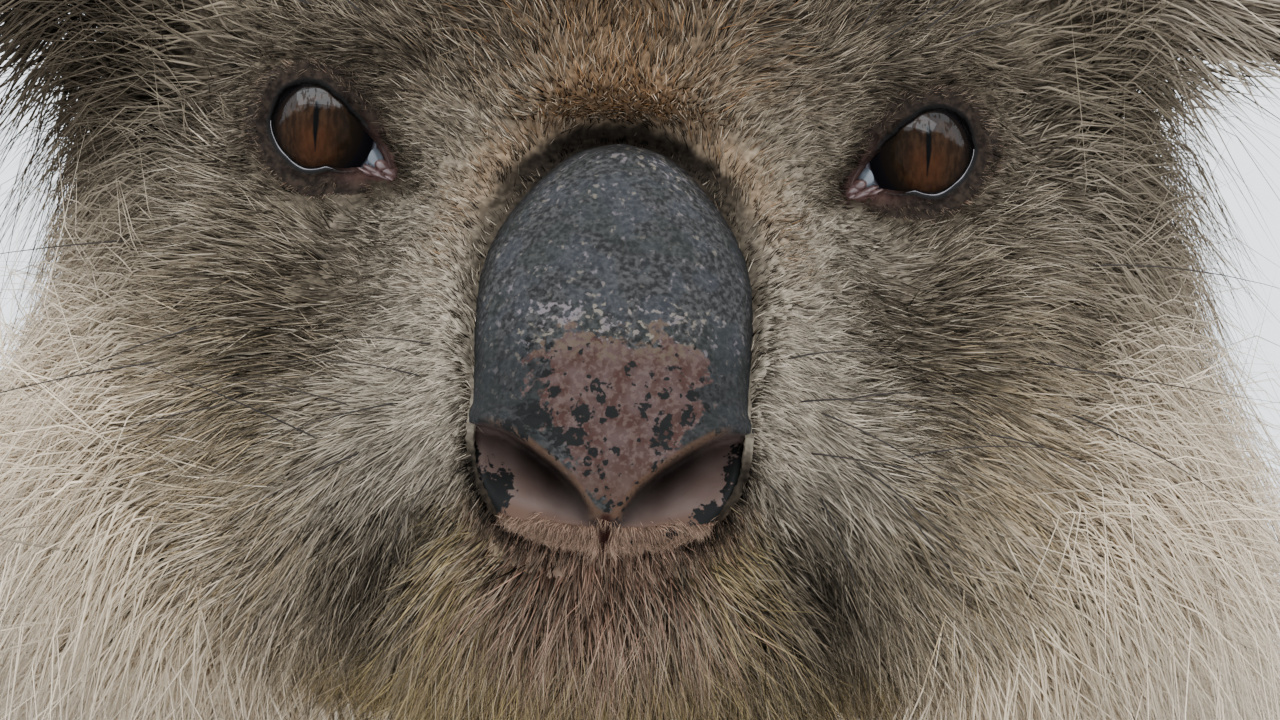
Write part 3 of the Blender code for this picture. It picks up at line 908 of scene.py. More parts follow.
def lid_radius(angle):
    """How far the lids' rim is from the pupil in each direction; 0 points towards the nose."""
    outline = np.array(EYE_OUTLINE)
    angles = np.arctan2(outline[:, 1], outline[:, 0])
    order = np.argsort(angles)
    fine = np.linspace(-math.pi, math.pi, 361)[:-1]
    radii = np.interp(fine, angles[order], np.hypot(*outline.T)[order], period=2 * math.pi)
    for _ in range(10):
        radii = (np.roll(radii, 1) + 2 * radii + np.roll(radii, -1)) / 4
    return np.interp(angle, fine, radii, period=2 * math.pi)


def from_lids(x, z):
    """The distance outside the nearer eye's opening."""
    toward_nose = PUPIL_OUT - np.abs(x)
    return np.hypot(toward_nose, z) - lid_radius(np.arctan2(z, toward_nose))


def ball_front(x, z):
    """The eyeball's surface, in y. Beyond the ball it goes on level, behind the corner of the lids."""
    reach = (np.abs(x) - EYEBALL_OUT) ** 2 + z**2
    return EYEBALL_SETBACK - np.sqrt(np.maximum(EYEBALL_RADIUS**2 - reach, 6.0**2))


def from_pad_edge(x, z):
    """The distance outside the pad's outline; inside it is negative."""
    heights = (PAD_TOP + PAD_BOTTOM) / 2 + (PAD_TOP - PAD_BOTTOM) / 2 * np.cos(np.linspace(0, math.pi, 49))
    outline = list(zip(half_width(heights).tolist(), heights.tolist()))
    inside = (np.abs(x) < half_width(z)) & (z < PAD_TOP) & (z > PAD_BOTTOM)
    return from_line(np.abs(x), z, outline) * np.where(inside, -1, 1)


def collar(z):
    return along(PAD_PROFILE, z) + 5.5 * step(-50, -20, z) + 3.6


x, y, z = local_skin.T.copy()
out_of_pad = from_pad_edge(x, z)
behind_pad = pad_height(x, z) + rolled_edge(x, z) + 3.2
edge_y = collar(np.clip(z, -48, 2)) + 1.3
near_pad = (1 - step(0.5, 9, out_of_pad)) * (y < 5)
y = y + (np.maximum(edge_y, y - 2) - y) * near_pad * (out_of_pad > 0)
black_fold = hill(out_of_pad - 1.5, 1.2) * step(-16, -3, z) * (y < 5)  # it holds the black rim of fur
y = y + 0.6 * black_fold
y = np.where((out_of_pad <= 0) & (out_of_pad > -1.2) & (y < 5), edge_y, y)
y = np.where((out_of_pad <= -1.2) & (y < 5), np.maximum(y, behind_pad), y)
out_of_lids = from_lids(x, z)
near_eyes = (np.hypot(np.abs(x) - PUPIL_OUT, z) < 20) & (y < 8)
lid_y = ball_front(x, z) - 0.9
settled = y + (lid_y - y) * (1 - step(0.5, 7.0, out_of_lids))
y = np.where(near_eyes, settled, y)
behind_ball = ball_front(x, z) + 2.5 * (1 - step(0.2, 1.6, out_of_lids))
y = np.where(near_eyes & (out_of_lids < 1.6), np.maximum(y, behind_ball), y)
local_skin[:, 1] = y
skin = from_head(local_skin)
skin_normals = normals_of(skin, skin_faces)
print("the skin has", len(skin), "points and", len(skin_faces), "triangles")

# %% [markdown]
# ## The lie of the coat
#
# Hair doesn't stand on end: it streams. On the face it runs from the nose outwards, over the cheeks down
# and back, over the crown back to the neck, and down the body and along each limb to the claws. One
# direction per point of the skin is enough. It is blurred over the net, like the lengths, so that one
# stream turns smoothly into the next.

# %% Directions
HAIR_SOURCE = np.array([0, -55, -24.0])
EAR_BASE = np.array([60, 36, 24.0])
LIMB_CHAINS = [("upper_arm", "forearm"), ("forearm", "hand"), ("thigh", "shank"), ("shank", "foot")]


def middle_of_parts(names):
    return np.mean([tuple(middle_of(name)) for name in names], axis=0)


x, y, z = local_skin.T
stream = local_skin - HAIR_SOURCE
stream[:, 2] -= 0.9 * np.maximum(np.abs(x) - 26, 0)
above_pad = (step(-10, 0, z) * step(28, 14, np.abs(x)) * step(30, 12, y))[:, None]
upward = np.stack([x * 0.9, np.full(len(x), 8.0), np.full(len(x), 18.0)], -1)
stream = unit(unit(stream) * (1 - above_pad) + unit(upward) * above_pad)
lie = stream * on_head[:, None]
for label, side in SIDES:
    from_base = unit(local_skin - EAR_BASE * [side, 1, 1])
    lie += from_base * belongs(f"ear_{label}")[:, None]
lie = lie @ unit(HEAD_ARRAY[:3, :3] / MM).T
downward = unit(np.stack([skin[:, 0] * 1.5, (skin[:, 1] - 0.03) * 1.5, np.full(len(skin), -0.25)], -1))
lie += downward * belongs("trunk", "neck")[:, None]
for label, side in SIDES:
    for upper, lower in LIMB_CHAINS:
        way = middle_of(f"{lower}_{label}") - middle_of(f"{upper}_{label}")
        lie += unit(np.array(way)) * belongs(f"{upper}_{label}")[:, None]
    for paw in ("hand", "foot"):
        claws = [node for node in solids if node.startswith(f"claw_{paw}_{label}")]
        way = middle_of_parts(claws) - np.array(middle_of(f"{paw}_{label}"))
        lie += unit(way) * belongs(f"{paw}_{label}")[:, None]
lie = blur(lie, 14)
lie -= skin_normals * (lie * skin_normals).sum(1)[:, None]
lie = unit(lie)
print("directions for", len(lie), "points")

# %% [markdown]
# ## The markings
#
# Grey-brown above, cream below, rust on the forehead, dark smudges under and beside the eyes, pale
# puffs beside the nose, white-fringed ears and a mottled rump. Some dark marks are painted shade
# instead: below the ears, in the corners of the mouth and round the edge of the nose pad. Each marking
# is a number from 0 to 1 at each point of the skin. The hairs take the numbers of the place they grow
# from, so the skin and the coat always carry the same pattern.

# %% Markings


PALE_PATCHES = [  # strength, across, height, how wide, how high, and True if it is on one side only
    (1.0, 21.5, -28, 6, 14), (1.0, 26, -33, 9, 8), (0.55, 27, -11, 6, 6), (0.5, -28, -41, 5, 5, True),
    (0.20, 0, -20, 60, 40), (0.2, 50, -6, 8, 10),
]
# dark fur, and painted shade: the rows at 57, 63 and -54 across are shade below the ears, and those at -25
# and 24 across, low down, are dark fur and shade in the corners of the mouth
DARK_AND_SHADED_PATCHES = [
    (0.85, -36, -24.5, 7.5, 10.5, True), (0.7, 33.5, -24, 7, 11, True), (0.6, 57, 1, 6, 8),
    (0.3, -26, -10, 7, 9, True), (0.3, -54, 2, 6, 14, True), (0.95, -25, -47, 5, 6.5, True),
    (0.9, 24, -49.5, 5, 8, True), (0.5, 18, -56, 4, 5, True), (0.55, 33, 7, 9, 3.5),
    (0.4, -19, 8, 8, 8, True), (0.5, 63, -3, 7, 12, True), (0.36, 33, -8, 14, 12),
]
YELLOW_PATCHES = [(0.8, -16, -50, 4.5, 6, True), (0.8, 14, -49, 4.0, 5, True)]


def patch(across, high, reach_x, reach_z, sided=False):
    """A soft round mark, on both sides of the face unless it is sided."""
    place = x if sided else np.abs(x)
    return np.exp(-(((place - across) / reach_x) ** 2) - ((z - high) / reach_z) ** 2)


def patches(table):
    """The sum of a table's patches, each as strong as its row says."""
    return sum(strength * patch(*where) for strength, *where in table)


front_of_head = step(30, 14, y) * on_head
pad_distance = from_pad_edge(x, z)
eye_distance = from_lids(x, z)
world_x, world_y, world_z = skin.T / MM
marks = {}
brow_rust = 0.9 * hill(x + 1, 15) * step(1, 7, z) * step(60, 20, z)
rust_round_pad = 0.7 * hill(pad_distance - 4.5, 2.4) * step(-26, -8, z)
marks["rust"] = front_of_head * np.clip(brow_rust + rust_round_pad, 0, 1)
marks["rust"] += 0.22 * belongs("trunk", "thigh") * step(-20, 60, world_y) * hill(world_z - 215, 105)
marks["pale"] = front_of_head * np.clip(patches(PALE_PATCHES), 0, 1)
marks["pale"] += 0.8 * belongs("trunk") * step(30, 120, world_y) * step(165, 80, world_z)
round_lids = 0.9 * hill(np.maximum(eye_distance - 2.3, 0), 1.8)
dark_brow = 0.20 * step(2, 9, z) + 0.25 * step(6, 13, z) * step(45, 20, np.abs(x))
# painted contact shadow in the fur all round the nose pad's edge, above the lip
pad_contact_shadow = 0.75 * hill(out_of_pad + 0.2, 1.0) * step(-48, -44, z)
darkness_and_shade = patches(DARK_AND_SHADED_PATCHES) + round_lids + dark_brow + pad_contact_shadow
marks["dark"] = front_of_head * np.clip(darkness_and_shade, 0, 1)
uneven = 1 + 0.22 * lumps(local_skin, 4.0, 8) + 0.18 * lumps(local_skin, 2.0, 9)
marks["dark"] = np.clip(marks["dark"] * uneven, 0, 1)
rim_width = np.interp(z, [-34, -27, -20, -13, -8, -4, -1], [0.0, 0.5, 1.0, 1.6, 2.3, 2.8, 2.0])
rim_width += 0.45 * lumps(local_skin, 2.2, 7)
rim_strength = np.interp(z, [-34, -27, -20, -11, -6, -3], [0.0, 0.25, 0.42, 0.6, 0.9, 1.0])
marks["black"] = front_of_head * step(rim_width + 1.6, rim_width - 0.4, pad_distance) * rim_strength
mouth_shadow = hill(from_line(np.abs(x), z + 0.6, MOUTH), 1.3) * step(20, 12, np.abs(x))
marks["black"] += front_of_head * 0.3 * mouth_shadow
nostril_side = step(-33, -37, z) * step(-48, -45, z)
marks["black"] += front_of_head * 0.9 * step(0.9, -0.4, out_of_pad) * nostril_side
cheek_cream = step(-7, 10, np.abs(x) - 31 - (z + 60) * 0.58) * step(5, -30, z)
marks["cream"] = on_head * np.clip(cheek_cream, 0, 1) * step(85, 45, y)
marks["straw"] = on_head * 0.45 * patch(46, -42, 13, 18) * step(60, 30, y)
marks["cream"] += belongs("neck") * step(40, 0, world_y)
marks["cream"] += belongs("trunk") * step(0.05, 0.5, -skin_normals[:, 1]) * 0.95
inner = -skin_normals[:, 0] * np.sign(world_x)
marks["cream"] += belongs("upper_arm", "forearm", "thigh", "shank") * step(0.2, 0.75, inner) * 0.85
marks["cream"] += belongs("hand", "foot") * 0.3
stained_chin = 0.75 * step(-52, -59, z) * step(36, 24, np.abs(x))
marks["yellow"] = front_of_head * np.clip(patches(YELLOW_PATCHES) + stained_chin, 0, 1)
marks["pink"] = front_of_head * np.clip(
    0.9 * patch(-1, -52.5, 12, 5.5, True) + 0.5 * step(3.0, 0.5, eye_distance)
    + 0.9 * hill(np.maximum(pad_distance, 0), 1.8) * step(-40, -44, z), 0, 1)
frontward = -(skin_normals @ HEAD_ARRAY[:3, 1]) / MM  # 1 where the skin faces the way the head does
for label, side in SIDES:
    opening = belongs(f"ear_{label}") * step(0.0, 0.6, frontward)
    marks["cream"] += opening * 0.9
    marks["dark"] += 0.45 * belongs(f"ear_{label}") * (1 - opening)
shaded_below_ear = (belongs("ear") + on_head * step(48, 58, np.abs(x))) * step(34, 20, z) * step(-8, 8, z)
# painted shade below the ears, deeper on the animal's right: the coat there is darkened and loses its cream
for side, share in ((1, 0.35), (-1, 1.0)):
    marks["dark"] += 0.8 * share * shaded_below_ear * (x * side > 0)
    marks["cream"] *= 1 - share * shaded_below_ear * (x * side > 0)
hair_length *= 1 + 0.5 * blur(shaded_below_ear * (x < 0), 6)
for name in marks:
    marks[name] = np.clip(blur(marks[name], 1 if name == "black" else 3), 0, 1)
print({name: round(float(values.mean()), 3) for name, values in marks.items()})

# %% [markdown]
# ## The coat's colours
#
# Each hair is dark at the root and pale at the tip, which gives the peppery look. So every marking has
# two colours. Skin and hairs share this recipe. The skin, seen between the hairs, is painted as roots.

# %% Coat paint
COAT_COLOURS = {  # root and tip
    "grey": ((0.048, 0.037, 0.027), (0.38, 0.305, 0.210)),
    "rust": ((0.050, 0.024, 0.010), (0.37, 0.190, 0.078)),
    "pale": ((0.24, 0.197, 0.146), (0.78, 0.67, 0.51)),
    "cream": ((0.74, 0.59, 0.43), (0.97, 0.83, 0.64)),
    "straw": ((0.34, 0.250, 0.135), (0.74, 0.56, 0.335)),
    "yellow": ((0.20, 0.145, 0.065), (0.57, 0.445, 0.220)),
    "pink": ((0.18, 0.100, 0.067), (0.45, 0.305, 0.215)),
    "dark": ((0.018, 0.0145, 0.011), (0.088, 0.068, 0.046)),
    "black": ((0.007, 0.006, 0.005), (0.034, 0.026, 0.019)),
}


def coat_tone(paint, tip, shade):
    """The coat's colour: tip runs from 0 at a hair's root to 1, and shade is each hair's own lightness."""
    root_tone, tip_tone = COAT_COLOURS["grey"]
    for name in list(COAT_COLOURS)[1:]:
        share = paint.mask(name)
        root_tone = paint.mix(share, root_tone, COAT_COLOURS[name][0])
        tip_tone = paint.mix(share, tip_tone, COAT_COLOURS[name][1])
    tone = paint.mix(tip, root_tone, tip_tone)
    return paint.mix(1.0, tone, shade, "MULTIPLY")


under = Paint("fur_skin", Roughness=0.9, Specular_IOR_Level=0.0)
strands = under.noise(0.8, 1.0)
under_paint = under.finish(Base_Color=coat_tone(under, strands * 0.8, strands * 0.7 + 0.4))
hair = Paint("fur", Roughness=0.8, Specular_IOR_Level=0.0)
towards_tip = hair.mask("tip") ** hair.mask("banding")
hair_paint = hair.finish(Base_Color=coat_tone(hair, towards_tip, hair.mask("shade")))


def skin_piece():
    mesh = mesh_of("skin", skin, skin_faces, marks)
    flesh = piece_of(mesh, under_paint)
    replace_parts(flesh, *[part for part in PARTS if part != "nose" and not part.startswith("eye")])
    return flesh


flesh = skin_piece()

# %% [markdown]
# ## Lids
#
# The lids are bare and mauve-brown, and moist at the rim. Each pair is a ring: it starts under the rim on
# the eyeball, rolls over the rim, and runs out over the skin until it dips below it. In the corner by
# the nose sits the pink caruncle, with the pale edge of the third lid beside it.

# %% Build the lids
LID_SPOKES = 120
LID_THICKNESS = 1.4
LID_RINGS = [  # outwards from the rim, back from it, and share of the skin's own shape
    (-0.9, 0.5, 0.0), (-0.25, 0.0, 0.0), (0.0, -0.40, 0.0), (0.2, -0.62, 0.0), (0.45, -0.68, 0.0),
    (0.8, -0.55, 0.08), (1.2, -0.62, 0.25), (1.7, -0.75, 0.5), (2.3, -0.6, 0.8), (3.0, -0.2, 0.95),
    (3.9, 0.6, 1.0), (4.8, 1.5, 1.0),
]
CORNER_TURN = 0.52  # how far below the line to the nose the eye's corner lies, as an angle


def skin_front(tree, x, z):
    """The skin's y at places of the face, found by looking from the front."""
    found = []
    for across, high in zip(x, z):
        hit = tree.ray_cast(Vector((across, -90, high)), Vector((0, 1, 0)))[0]
        found.append(hit.y if hit else 0.0)
    return np.array(found)


def build_lids(side, tree):
    angle = 2 * math.pi * np.arange(LID_SPOKES) / LID_SPOKES
    rim = lid_radius(angle)
    rows = []
    for outward, back, share in LID_RINGS:
        radius = rim + outward
        toward, up = radius * np.cos(angle), radius * np.sin(angle)
        across = side * (PUPIL_OUT - toward)
        at_rim = ball_front(side * (PUPIL_OUT - rim * np.cos(angle)), rim * np.sin(angle))
        on_ball = ball_front(across, up) if outward < 0 else at_rim
        ridge = 0.16 * np.sin(3 * angle + 5 * outward) * (outward > 0.6)
        on_skin = skin_front(tree, across, up) + back * 0.45
        depth = (1 - share) * (on_ball + back) + share * on_skin + ridge
        rows.append(np.stack([across, depth, up], -1))
    points = np.vstack(rows)
    index = np.arange(len(points)).reshape(len(LID_RINGS), LID_SPOKES)
    nxt = np.roll(index, -1, 1)
    quads = np.stack([index[:-1], index[1:], nxt[1:], nxt[:-1]], -1).reshape(-1, 4)
    underside = points + [0, LID_THICKNESS, 0]
    back_quads = quads[:, ::-1] + len(points)
    inner_edge = np.stack([index[0], nxt[0], nxt[0] + len(points), index[0] + len(points)], -1)
    outer_edge = np.stack([index[-1], index[-1] + len(points), nxt[-1] + len(points), nxt[-1]], -1)
    faces = np.vstack([quads, back_quads, inner_edge, outer_edge])
    if side < 0:
        faces = faces[:, ::-1]
    outward = np.repeat([ring[0] for ring in LID_RINGS], LID_SPOKES)
    turn = np.tile(angle, len(LID_RINGS))
    from_corner = (turn + CORNER_TURN + math.pi) % (2 * math.pi) - math.pi
    numbers = {"rim": outward, "corner": hill(from_corner, 0.5), "low": -np.sin(turn)}
    numbers = {key: np.tile(values, 2) for key, values in numbers.items()}
    mesh = mesh_of("lids", np.vstack([points, underside]), faces, numbers)
    mesh.transform(HEAD)
    return mesh


lid = Paint("lid_skin", Specular_IOR_Level=0.06, Coat_Roughness=0.25)
rim, corner, low = lid.mask("rim"), lid.mask("corner"), lid.mask("low")
wrinkle = lid.noise(0.8, 3.0)
bare = lid.mix(wrinkle.between(0.35, 0.68), (0.011, 0.0075, 0.0055), (0.031, 0.021, 0.015))
bare = lid.mix(corner * rim.between(3.2, 0.5) * 0.8, bare, (0.110, 0.058, 0.048))
bare = lid.mix(rim.between(0.85, 0.40) * (1 - corner * 0.7), bare, (0.003, 0.0025, 0.0022))
lid_paint = lid.finish(
    Base_Color=bare,
    Roughness=0.3 + rim.between(0.2, 1.2) * 0.35,
    Coat_Weight=rim.between(0.9, 0.3) * (low + 0.3).between(-0.3, 0.6) * 0.15,
    Normal=lid.bump(wrinkle, 0.3),
)
local_tree = BVHTree.FromPolygons(local_skin.tolist(), skin_faces.tolist())
lid_trees = {}
for label, side in SIDES:
    mesh = build_lids(side, local_tree)
    mesh.name = f"lids_{label}"
    lid_trees[side] = BVHTree.FromPolygons(*(shape.tolist() for shape in arrays_of(mesh)))
    piece_of(mesh, lid_paint)


def blob(name, place, radii, turn=0.0):
    """A small smooth lump, in the head's millimetres. turn leans its top to one side, in degrees."""
    shape = bmesh.new()
    bmesh.ops.create_uvsphere(shape, u_segments=28, v_segments=18, radius=1)
    mesh = bpy.data.meshes.new(name)
    shape.to_mesh(mesh)
    shape.free()
    leaning = Matrix.Rotation(math.radians(turn), 4, "Y")
    mesh.transform(HEAD @ Matrix.Translation(place) @ leaning @ Matrix.Diagonal((*radii, 1)))
    mesh.shade_smooth()
    return mesh


wet = Paint("wet_pink", Roughness=0.35, Coat_Weight=0.5, Coat_Roughness=0.1)
wet_paint = wet.finish(Base_Color=wet.mix(
    wet.noise(1.0).between(0.35, 0.65), (0.085, 0.042, 0.036), (0.165, 0.100, 0.092)))
third = Paint("third_lid", Roughness=0.3, Coat_Weight=0.6, Coat_Roughness=0.08)
third_paint = third.finish(Base_Color=third.mix(
    third.noise(1.6).between(0.4, 0.6), (0.105, 0.120, 0.138), (0.140, 0.158, 0.180)))
tear = Paint("tear_line", Roughness=0.12, Coat_Weight=1.0, Coat_Roughness=0.03)
tear_paint = tear.finish(Base_Color=tear.mix(tear.noise(1.2), (0.07, 0.062, 0.062), (0.19, 0.175, 0.182)))
CARUNCLE = [  # place towards the nose and up, reach across and up
    (7.9, -4.0, 1.1, 0.7), (8.7, -4.7, 1.2, 0.6), (6.9, -4.6, 1.5, 0.42), (7.7, -5.2, 1.8, 0.45),
    (8.9, -5.5, 1.1, 0.4), (5.9, -4.75, 1.2, 0.3),
]
TEAR_STEPS, TEAR_SIDES = 40, 8


def tear_line(name, side):
    """A thin tube of wetness along the lower lid's rim."""
    turn = np.linspace(-0.15, 2.05, TEAR_STEPS) + math.pi
    radius = lid_radius((turn + math.pi) % (2 * math.pi) - math.pi) + 0.12
    across, up = side * (PUPIL_OUT - radius * np.cos(turn)), radius * np.sin(turn)
    line = np.stack([across, ball_front(across, up) - 0.62, up], -1)
    ways = unit(np.gradient(line, axis=0))
    first = unit(np.cross(ways, [0, 1.0, 0]))
    second = np.cross(ways, first)
    tapered = np.sin(np.linspace(0.12, math.pi - 0.12, TEAR_STEPS)) ** 0.5
    thick = 0.085 * tapered * (1 + 0.25 * np.sin(turn * 9))
    about = (np.arange(TEAR_SIDES) * 2 * math.pi / TEAR_SIDES)[None, :, None]
    rings = first[:, None] * np.cos(about) + second[:, None] * np.sin(about)
    rings = line[:, None] + thick[:, None, None] * rings
    index = np.arange(TEAR_STEPS * TEAR_SIDES).reshape(TEAR_STEPS, TEAR_SIDES)
    nxt = np.roll(index, -1, 1)
    quads = np.stack([index[:-1], nxt[:-1], nxt[1:], index[1:]], -1).reshape(-1, 4)
    caps = np.array([[0, 3, 2, 1], [0, 5, 4, 3], [0, 7, 6, 5]])
    faces = np.vstack([quads, caps, index[-1, 0] + caps[:, ::-1]])
    mesh = mesh_of(name, rings.reshape(-1, 3), faces)
    solid = bmesh.new()
    solid.from_mesh(mesh)
    bmesh.ops.recalc_face_normals(solid, faces=solid.faces)
    solid.to_mesh(mesh)
    solid.free()
    mesh.transform(HEAD)
    return mesh


for label, side in SIDES:
    for number, (toward, high, wide, tall) in enumerate(CARUNCLE):
        place = (side * (PUPIL_OUT - toward), -4.6, high)
        piece_of(blob(f"caruncle_{label}_{number}", place, (wide, 0.7, tall), side * -25), wet_paint)
    edge = blob(f"third_lid_{label}", (side * (PUPIL_OUT - 6.7), -4.0, -2.9), (1.1, 0.9, 2.0), side * 35)
    piece_of(edge, third_paint)
    piece_of(tear_line(f"tear_line_{label}", side), tear_paint)
print("lids and caruncles made")

# %% [markdown]
# ## Growing the coat
#
# A museum model's coat is set in tuft by tuft. Here each tuft is a thin closed spindle with a few faces:
# a root, one or two rings of three points, and a tip. It leaves the skin at a slant, bends over, and its
# tip is drawn towards the middle of its lock, as real fur clumps. Roots are spread over the skin's
# triangles so that they are as dense as asked, and neither in rows nor in heaps.

# %% Roots, locks and spindles


def scatter(weights, count, seed):
    """Places count roots on the triangles, as densely as the points' weights ask."""
    draw = np.random.default_rng(seed)
    corners = skin[skin_faces]
    area = np.linalg.norm(np.cross(corners[:, 1] - corners[:, 0], corners[:, 2] - corners[:, 0]), axis=1)
    share = np.cumsum(area * weights[skin_faces].mean(1))
    places = (np.arange(count) + draw.uniform(0, 1, count)) / count * share[-1]
    chosen = np.searchsorted(share, places)
    u, v = draw.uniform(0, 1, (2, count))
    flip = u + v > 1
    u[flip], v[flip] = 1 - u[flip], 1 - v[flip]
    return np.minimum(chosen, len(skin_faces) - 1), np.stack([1 - u - v, u, v], -1)


def at_roots(values, chosen, shares):
    """Reads a number or vector of the skin's points at the roots."""
    corners = values[skin_faces[chosen]]
    return (corners * shares.reshape(shares.shape + (1,) * (values.ndim - 1))).sum(1)


def lock_tips(roots, tips, lock_size, seed):
    """For each root, the tip of the lock it belongs to: that of the nearest lock leader."""
    draw = np.random.default_rng(seed)
    cells = np.floor(roots / (lock_size * MM) + draw.uniform(0, 1, 3)).astype(int)
    keys = cells @ np.array([1, 4001, 16008001])
    first = np.unique(keys, return_index=True)[1]
    leaders = roots[first]
    tree = KDTree(len(leaders))
    for number, leader in enumerate(leaders.tolist()):
        tree.insert(leader, number)
    tree.balance()
    owner = np.array([tree.find(root)[1] for root in roots.tolist()])
    return tips[first][owner]


def unwrap(weights):
    """Lays the triangles of a region out flat. Gives a place on that map for each of their corners."""
    inside = weights[skin_faces].max(1) > 0
    used, faces = np.unique(skin_faces[inside], return_inverse=True)
    mesh = mesh_of("region", skin[used], faces.reshape(-1, 3), smooth=False)
    region = bpy.data.objects.new("region", mesh)
    bpy.context.scene.collection.objects.link(region)
    bpy.context.view_layer.objects.active = region
    region.select_set(True)
    mesh.uv_layers.new(name="flat")
    bpy.ops.object.mode_set(mode="EDIT")
    bpy.ops.mesh.select_all(action="SELECT")
    bpy.ops.uv.smart_project(angle_limit=math.radians(66), island_margin=0.01)
    bpy.ops.object.mode_set(mode="OBJECT")
    flat = np.empty(len(mesh.loops) * 2, np.float32)
    mesh.uv_layers["flat"].data.foreach_get("uv", flat)
    places = np.zeros((len(skin_faces), 3, 2))
    places[inside] = flat.reshape(-1, 3, 2)
    bpy.data.objects.remove(region)
    bpy.data.meshes.remove(mesh)
    return places


TUFT_PATCH = 0.003
total_tufts = total_triangles = 0


def tufts(name, draw, seed, roots, normal, way, length, colours, places, width, rings=1, lift=24, lock=0.0,
          lock_pull=0.4, lock_size=4.0, droop=0.25, dark_hairs=0.12, variety=0.20, root_tip=0.0,
          banding=1.15, mingle=0.0, mottle=0.0):
    """One piece of coat, from arrays with a row for each tuft. Lengths and widths are in mm.

    banding makes hairs dark for more of their length, mingle mixes hairs of two markings where they meet,
    and mottle makes small patches lighter and darker.
    """
    global total_tufts, total_triangles
    count = len(roots)
    stray = draw.uniform(size=count) < 0.06
    length = length * np.where(stray, 1.35, 1.0)
    rise = np.radians(lift * draw.uniform(0.55, 1.5, count) * np.where(stray, 1.5, 1.0))
    start = way * np.cos(rise)[:, None] + normal * np.sin(rise)[:, None]
    end = unit(start - normal * np.sin(rise)[:, None] * 0.9 + [0, 0, -droop])
    sunk = roots - normal * 0.25 * MM
    reach = (length * MM)[:, None]
    tips = sunk + start * reach * 0.45 + end * reach * 0.55
    if lock:
        lead = lock_tips(roots, tips, lock_size, seed + 2)
        gap = lead - tips
        near = hill(np.linalg.norm(gap, axis=1) / MM, lock_size * 2.2)
        tips = tips + gap * (lock_pull * near)[:, None]
    first = sunk + start * reach * 0.34
    second = (first + tips) / 2 + (first - sunk) * 0.22
    along_hair = unit(tips - sunk)
    flat_axis = unit(np.cross(along_hair, normal))
    other_axis = np.cross(flat_axis, along_hair)
    thick = width * draw.uniform(0.75, 1.3, count) * np.clip(length / np.median(length), 0.8, 1.15) * MM / 2
    thick = thick * np.where(stray, 0.6, 1.0)
    turn = draw.uniform(0, 2 * math.pi, count)
    levels = [(sunk, 1.0, 0.0)] if not rings else [(first, 1.0, 0.34), (second, 0.72, 0.68)][:rings]
    parts, tip_share = [], []
    if rings:
        parts, tip_share = [sunk[:, None, :]], [0.0]
    for middle, size, share in levels:
        for corner in range(3):
            angle = turn + corner * 2 * math.pi / 3
            offset = flat_axis * np.cos(angle)[:, None] + other_axis * np.sin(angle)[:, None]
            parts.append((middle + offset * (thick * size)[:, None])[:, None, :])
            tip_share.append(share)
    parts.append(tips[:, None, :])
    tip_share.append(1.0)
    points = np.concatenate(parts, 1)
    points[..., 2] = np.maximum(points[..., 2], 0.0002)  # nothing goes through the floor
    each = points.shape[1]
    pattern = [] if rings else [(0, 2, 1)]
    for corner in range(3):
        following = (corner + 1) % 3
        if rings:
            pattern.append((0, 1 + following, 1 + corner))
        if rings == 2:
            a, b, c, d = 1 + corner, 1 + following, 4 + following, 4 + corner
            pattern += [(a, b, c), (a, c, d)]
        pattern.append((each - 4 + corner, each - 4 + following, each - 1))
    faces = (np.arange(count) * each)[:, None, None] + np.array(pattern)[None]
    shade = 0.92 + variety * draw.normal(size=count) + 0.10 * lumps(roots / MM, 6.0, seed + 3)
    shade = (shade + mottle * lumps(roots / MM, 1.2, seed + 4)) * 1.32 ** (banding - 1.15)
    shade = np.clip(np.where(draw.uniform(size=count) < dark_hairs, shade * 0.42, shade), 0.15, 2.2)
    numbers = {}
    for key, share in colours.items():
        share = np.clip(share + mingle * draw.normal(size=count) * 4 * share * (1 - share), 0, 1)
        share = np.where(draw.uniform(size=count) < 0.3 * mingle, share * 0.4, share)
        numbers[key] = np.repeat(share, each)
    numbers["shade"] = np.repeat(shade, each)
    numbers["banding"] = np.full(count * each, banding)
    numbers["tip"] = root_tip + (1 - root_tip) * np.tile(tip_share, count)
    mesh = mesh_of(name, points.reshape(-1, 3), faces.reshape(-1, 3), numbers)
    about = np.linspace(0, 2 * math.pi, each, endpoint=False)
    uv = places[:, None, :] + np.stack([np.cos(about), np.sin(about)], -1)[None] * TUFT_PATCH / 2
    uv_layer = mesh.uv_layers.new(name="OFBake")
    uv_layer.data.foreach_set("uv", uv.reshape(-1, 2)[faces.ravel()].astype(np.float32).ravel())
    total_tufts += count
    total_triangles += faces.size // 3
    piece_of(mesh, hair_paint)
    print(name, "-", count, "tufts,", faces.size // 3, "triangles")
    return mesh


def grow(name, weights, count, width, seed, stretch=1.0, wander=14, **style):
    """One piece of coat on the skin: count tufts over the points where weights is above 0."""
    draw = np.random.default_rng(seed)
    chosen, shares = scatter(weights, count, seed)
    roots = at_roots(skin, chosen, shares)
    normal = unit(at_roots(skin_normals, chosen, shares))
    way = at_roots(lie, chosen, shares)
    way = unit(way - normal * (way * normal).sum(1)[:, None])
    aside = np.cross(normal, way)
    yaw = np.radians(draw.normal(0, wander, count))
    yaw += np.radians(0.8 * wander) * lumps(roots / MM, 9.0, seed + 1)
    way = way * np.cos(yaw)[:, None] + aside * np.sin(yaw)[:, None]
    length = at_roots(hair_length, chosen, shares) * stretch * draw.uniform(0.72, 1.2, count)
    colours = {key: at_roots(values, chosen, shares) for key, values in marks.items()}
    places = (unwrap(weights)[chosen] * shares[:, :, None]).sum(1)
    return tufts(name, draw, seed, roots, normal, way, length, colours, places, width, **style)


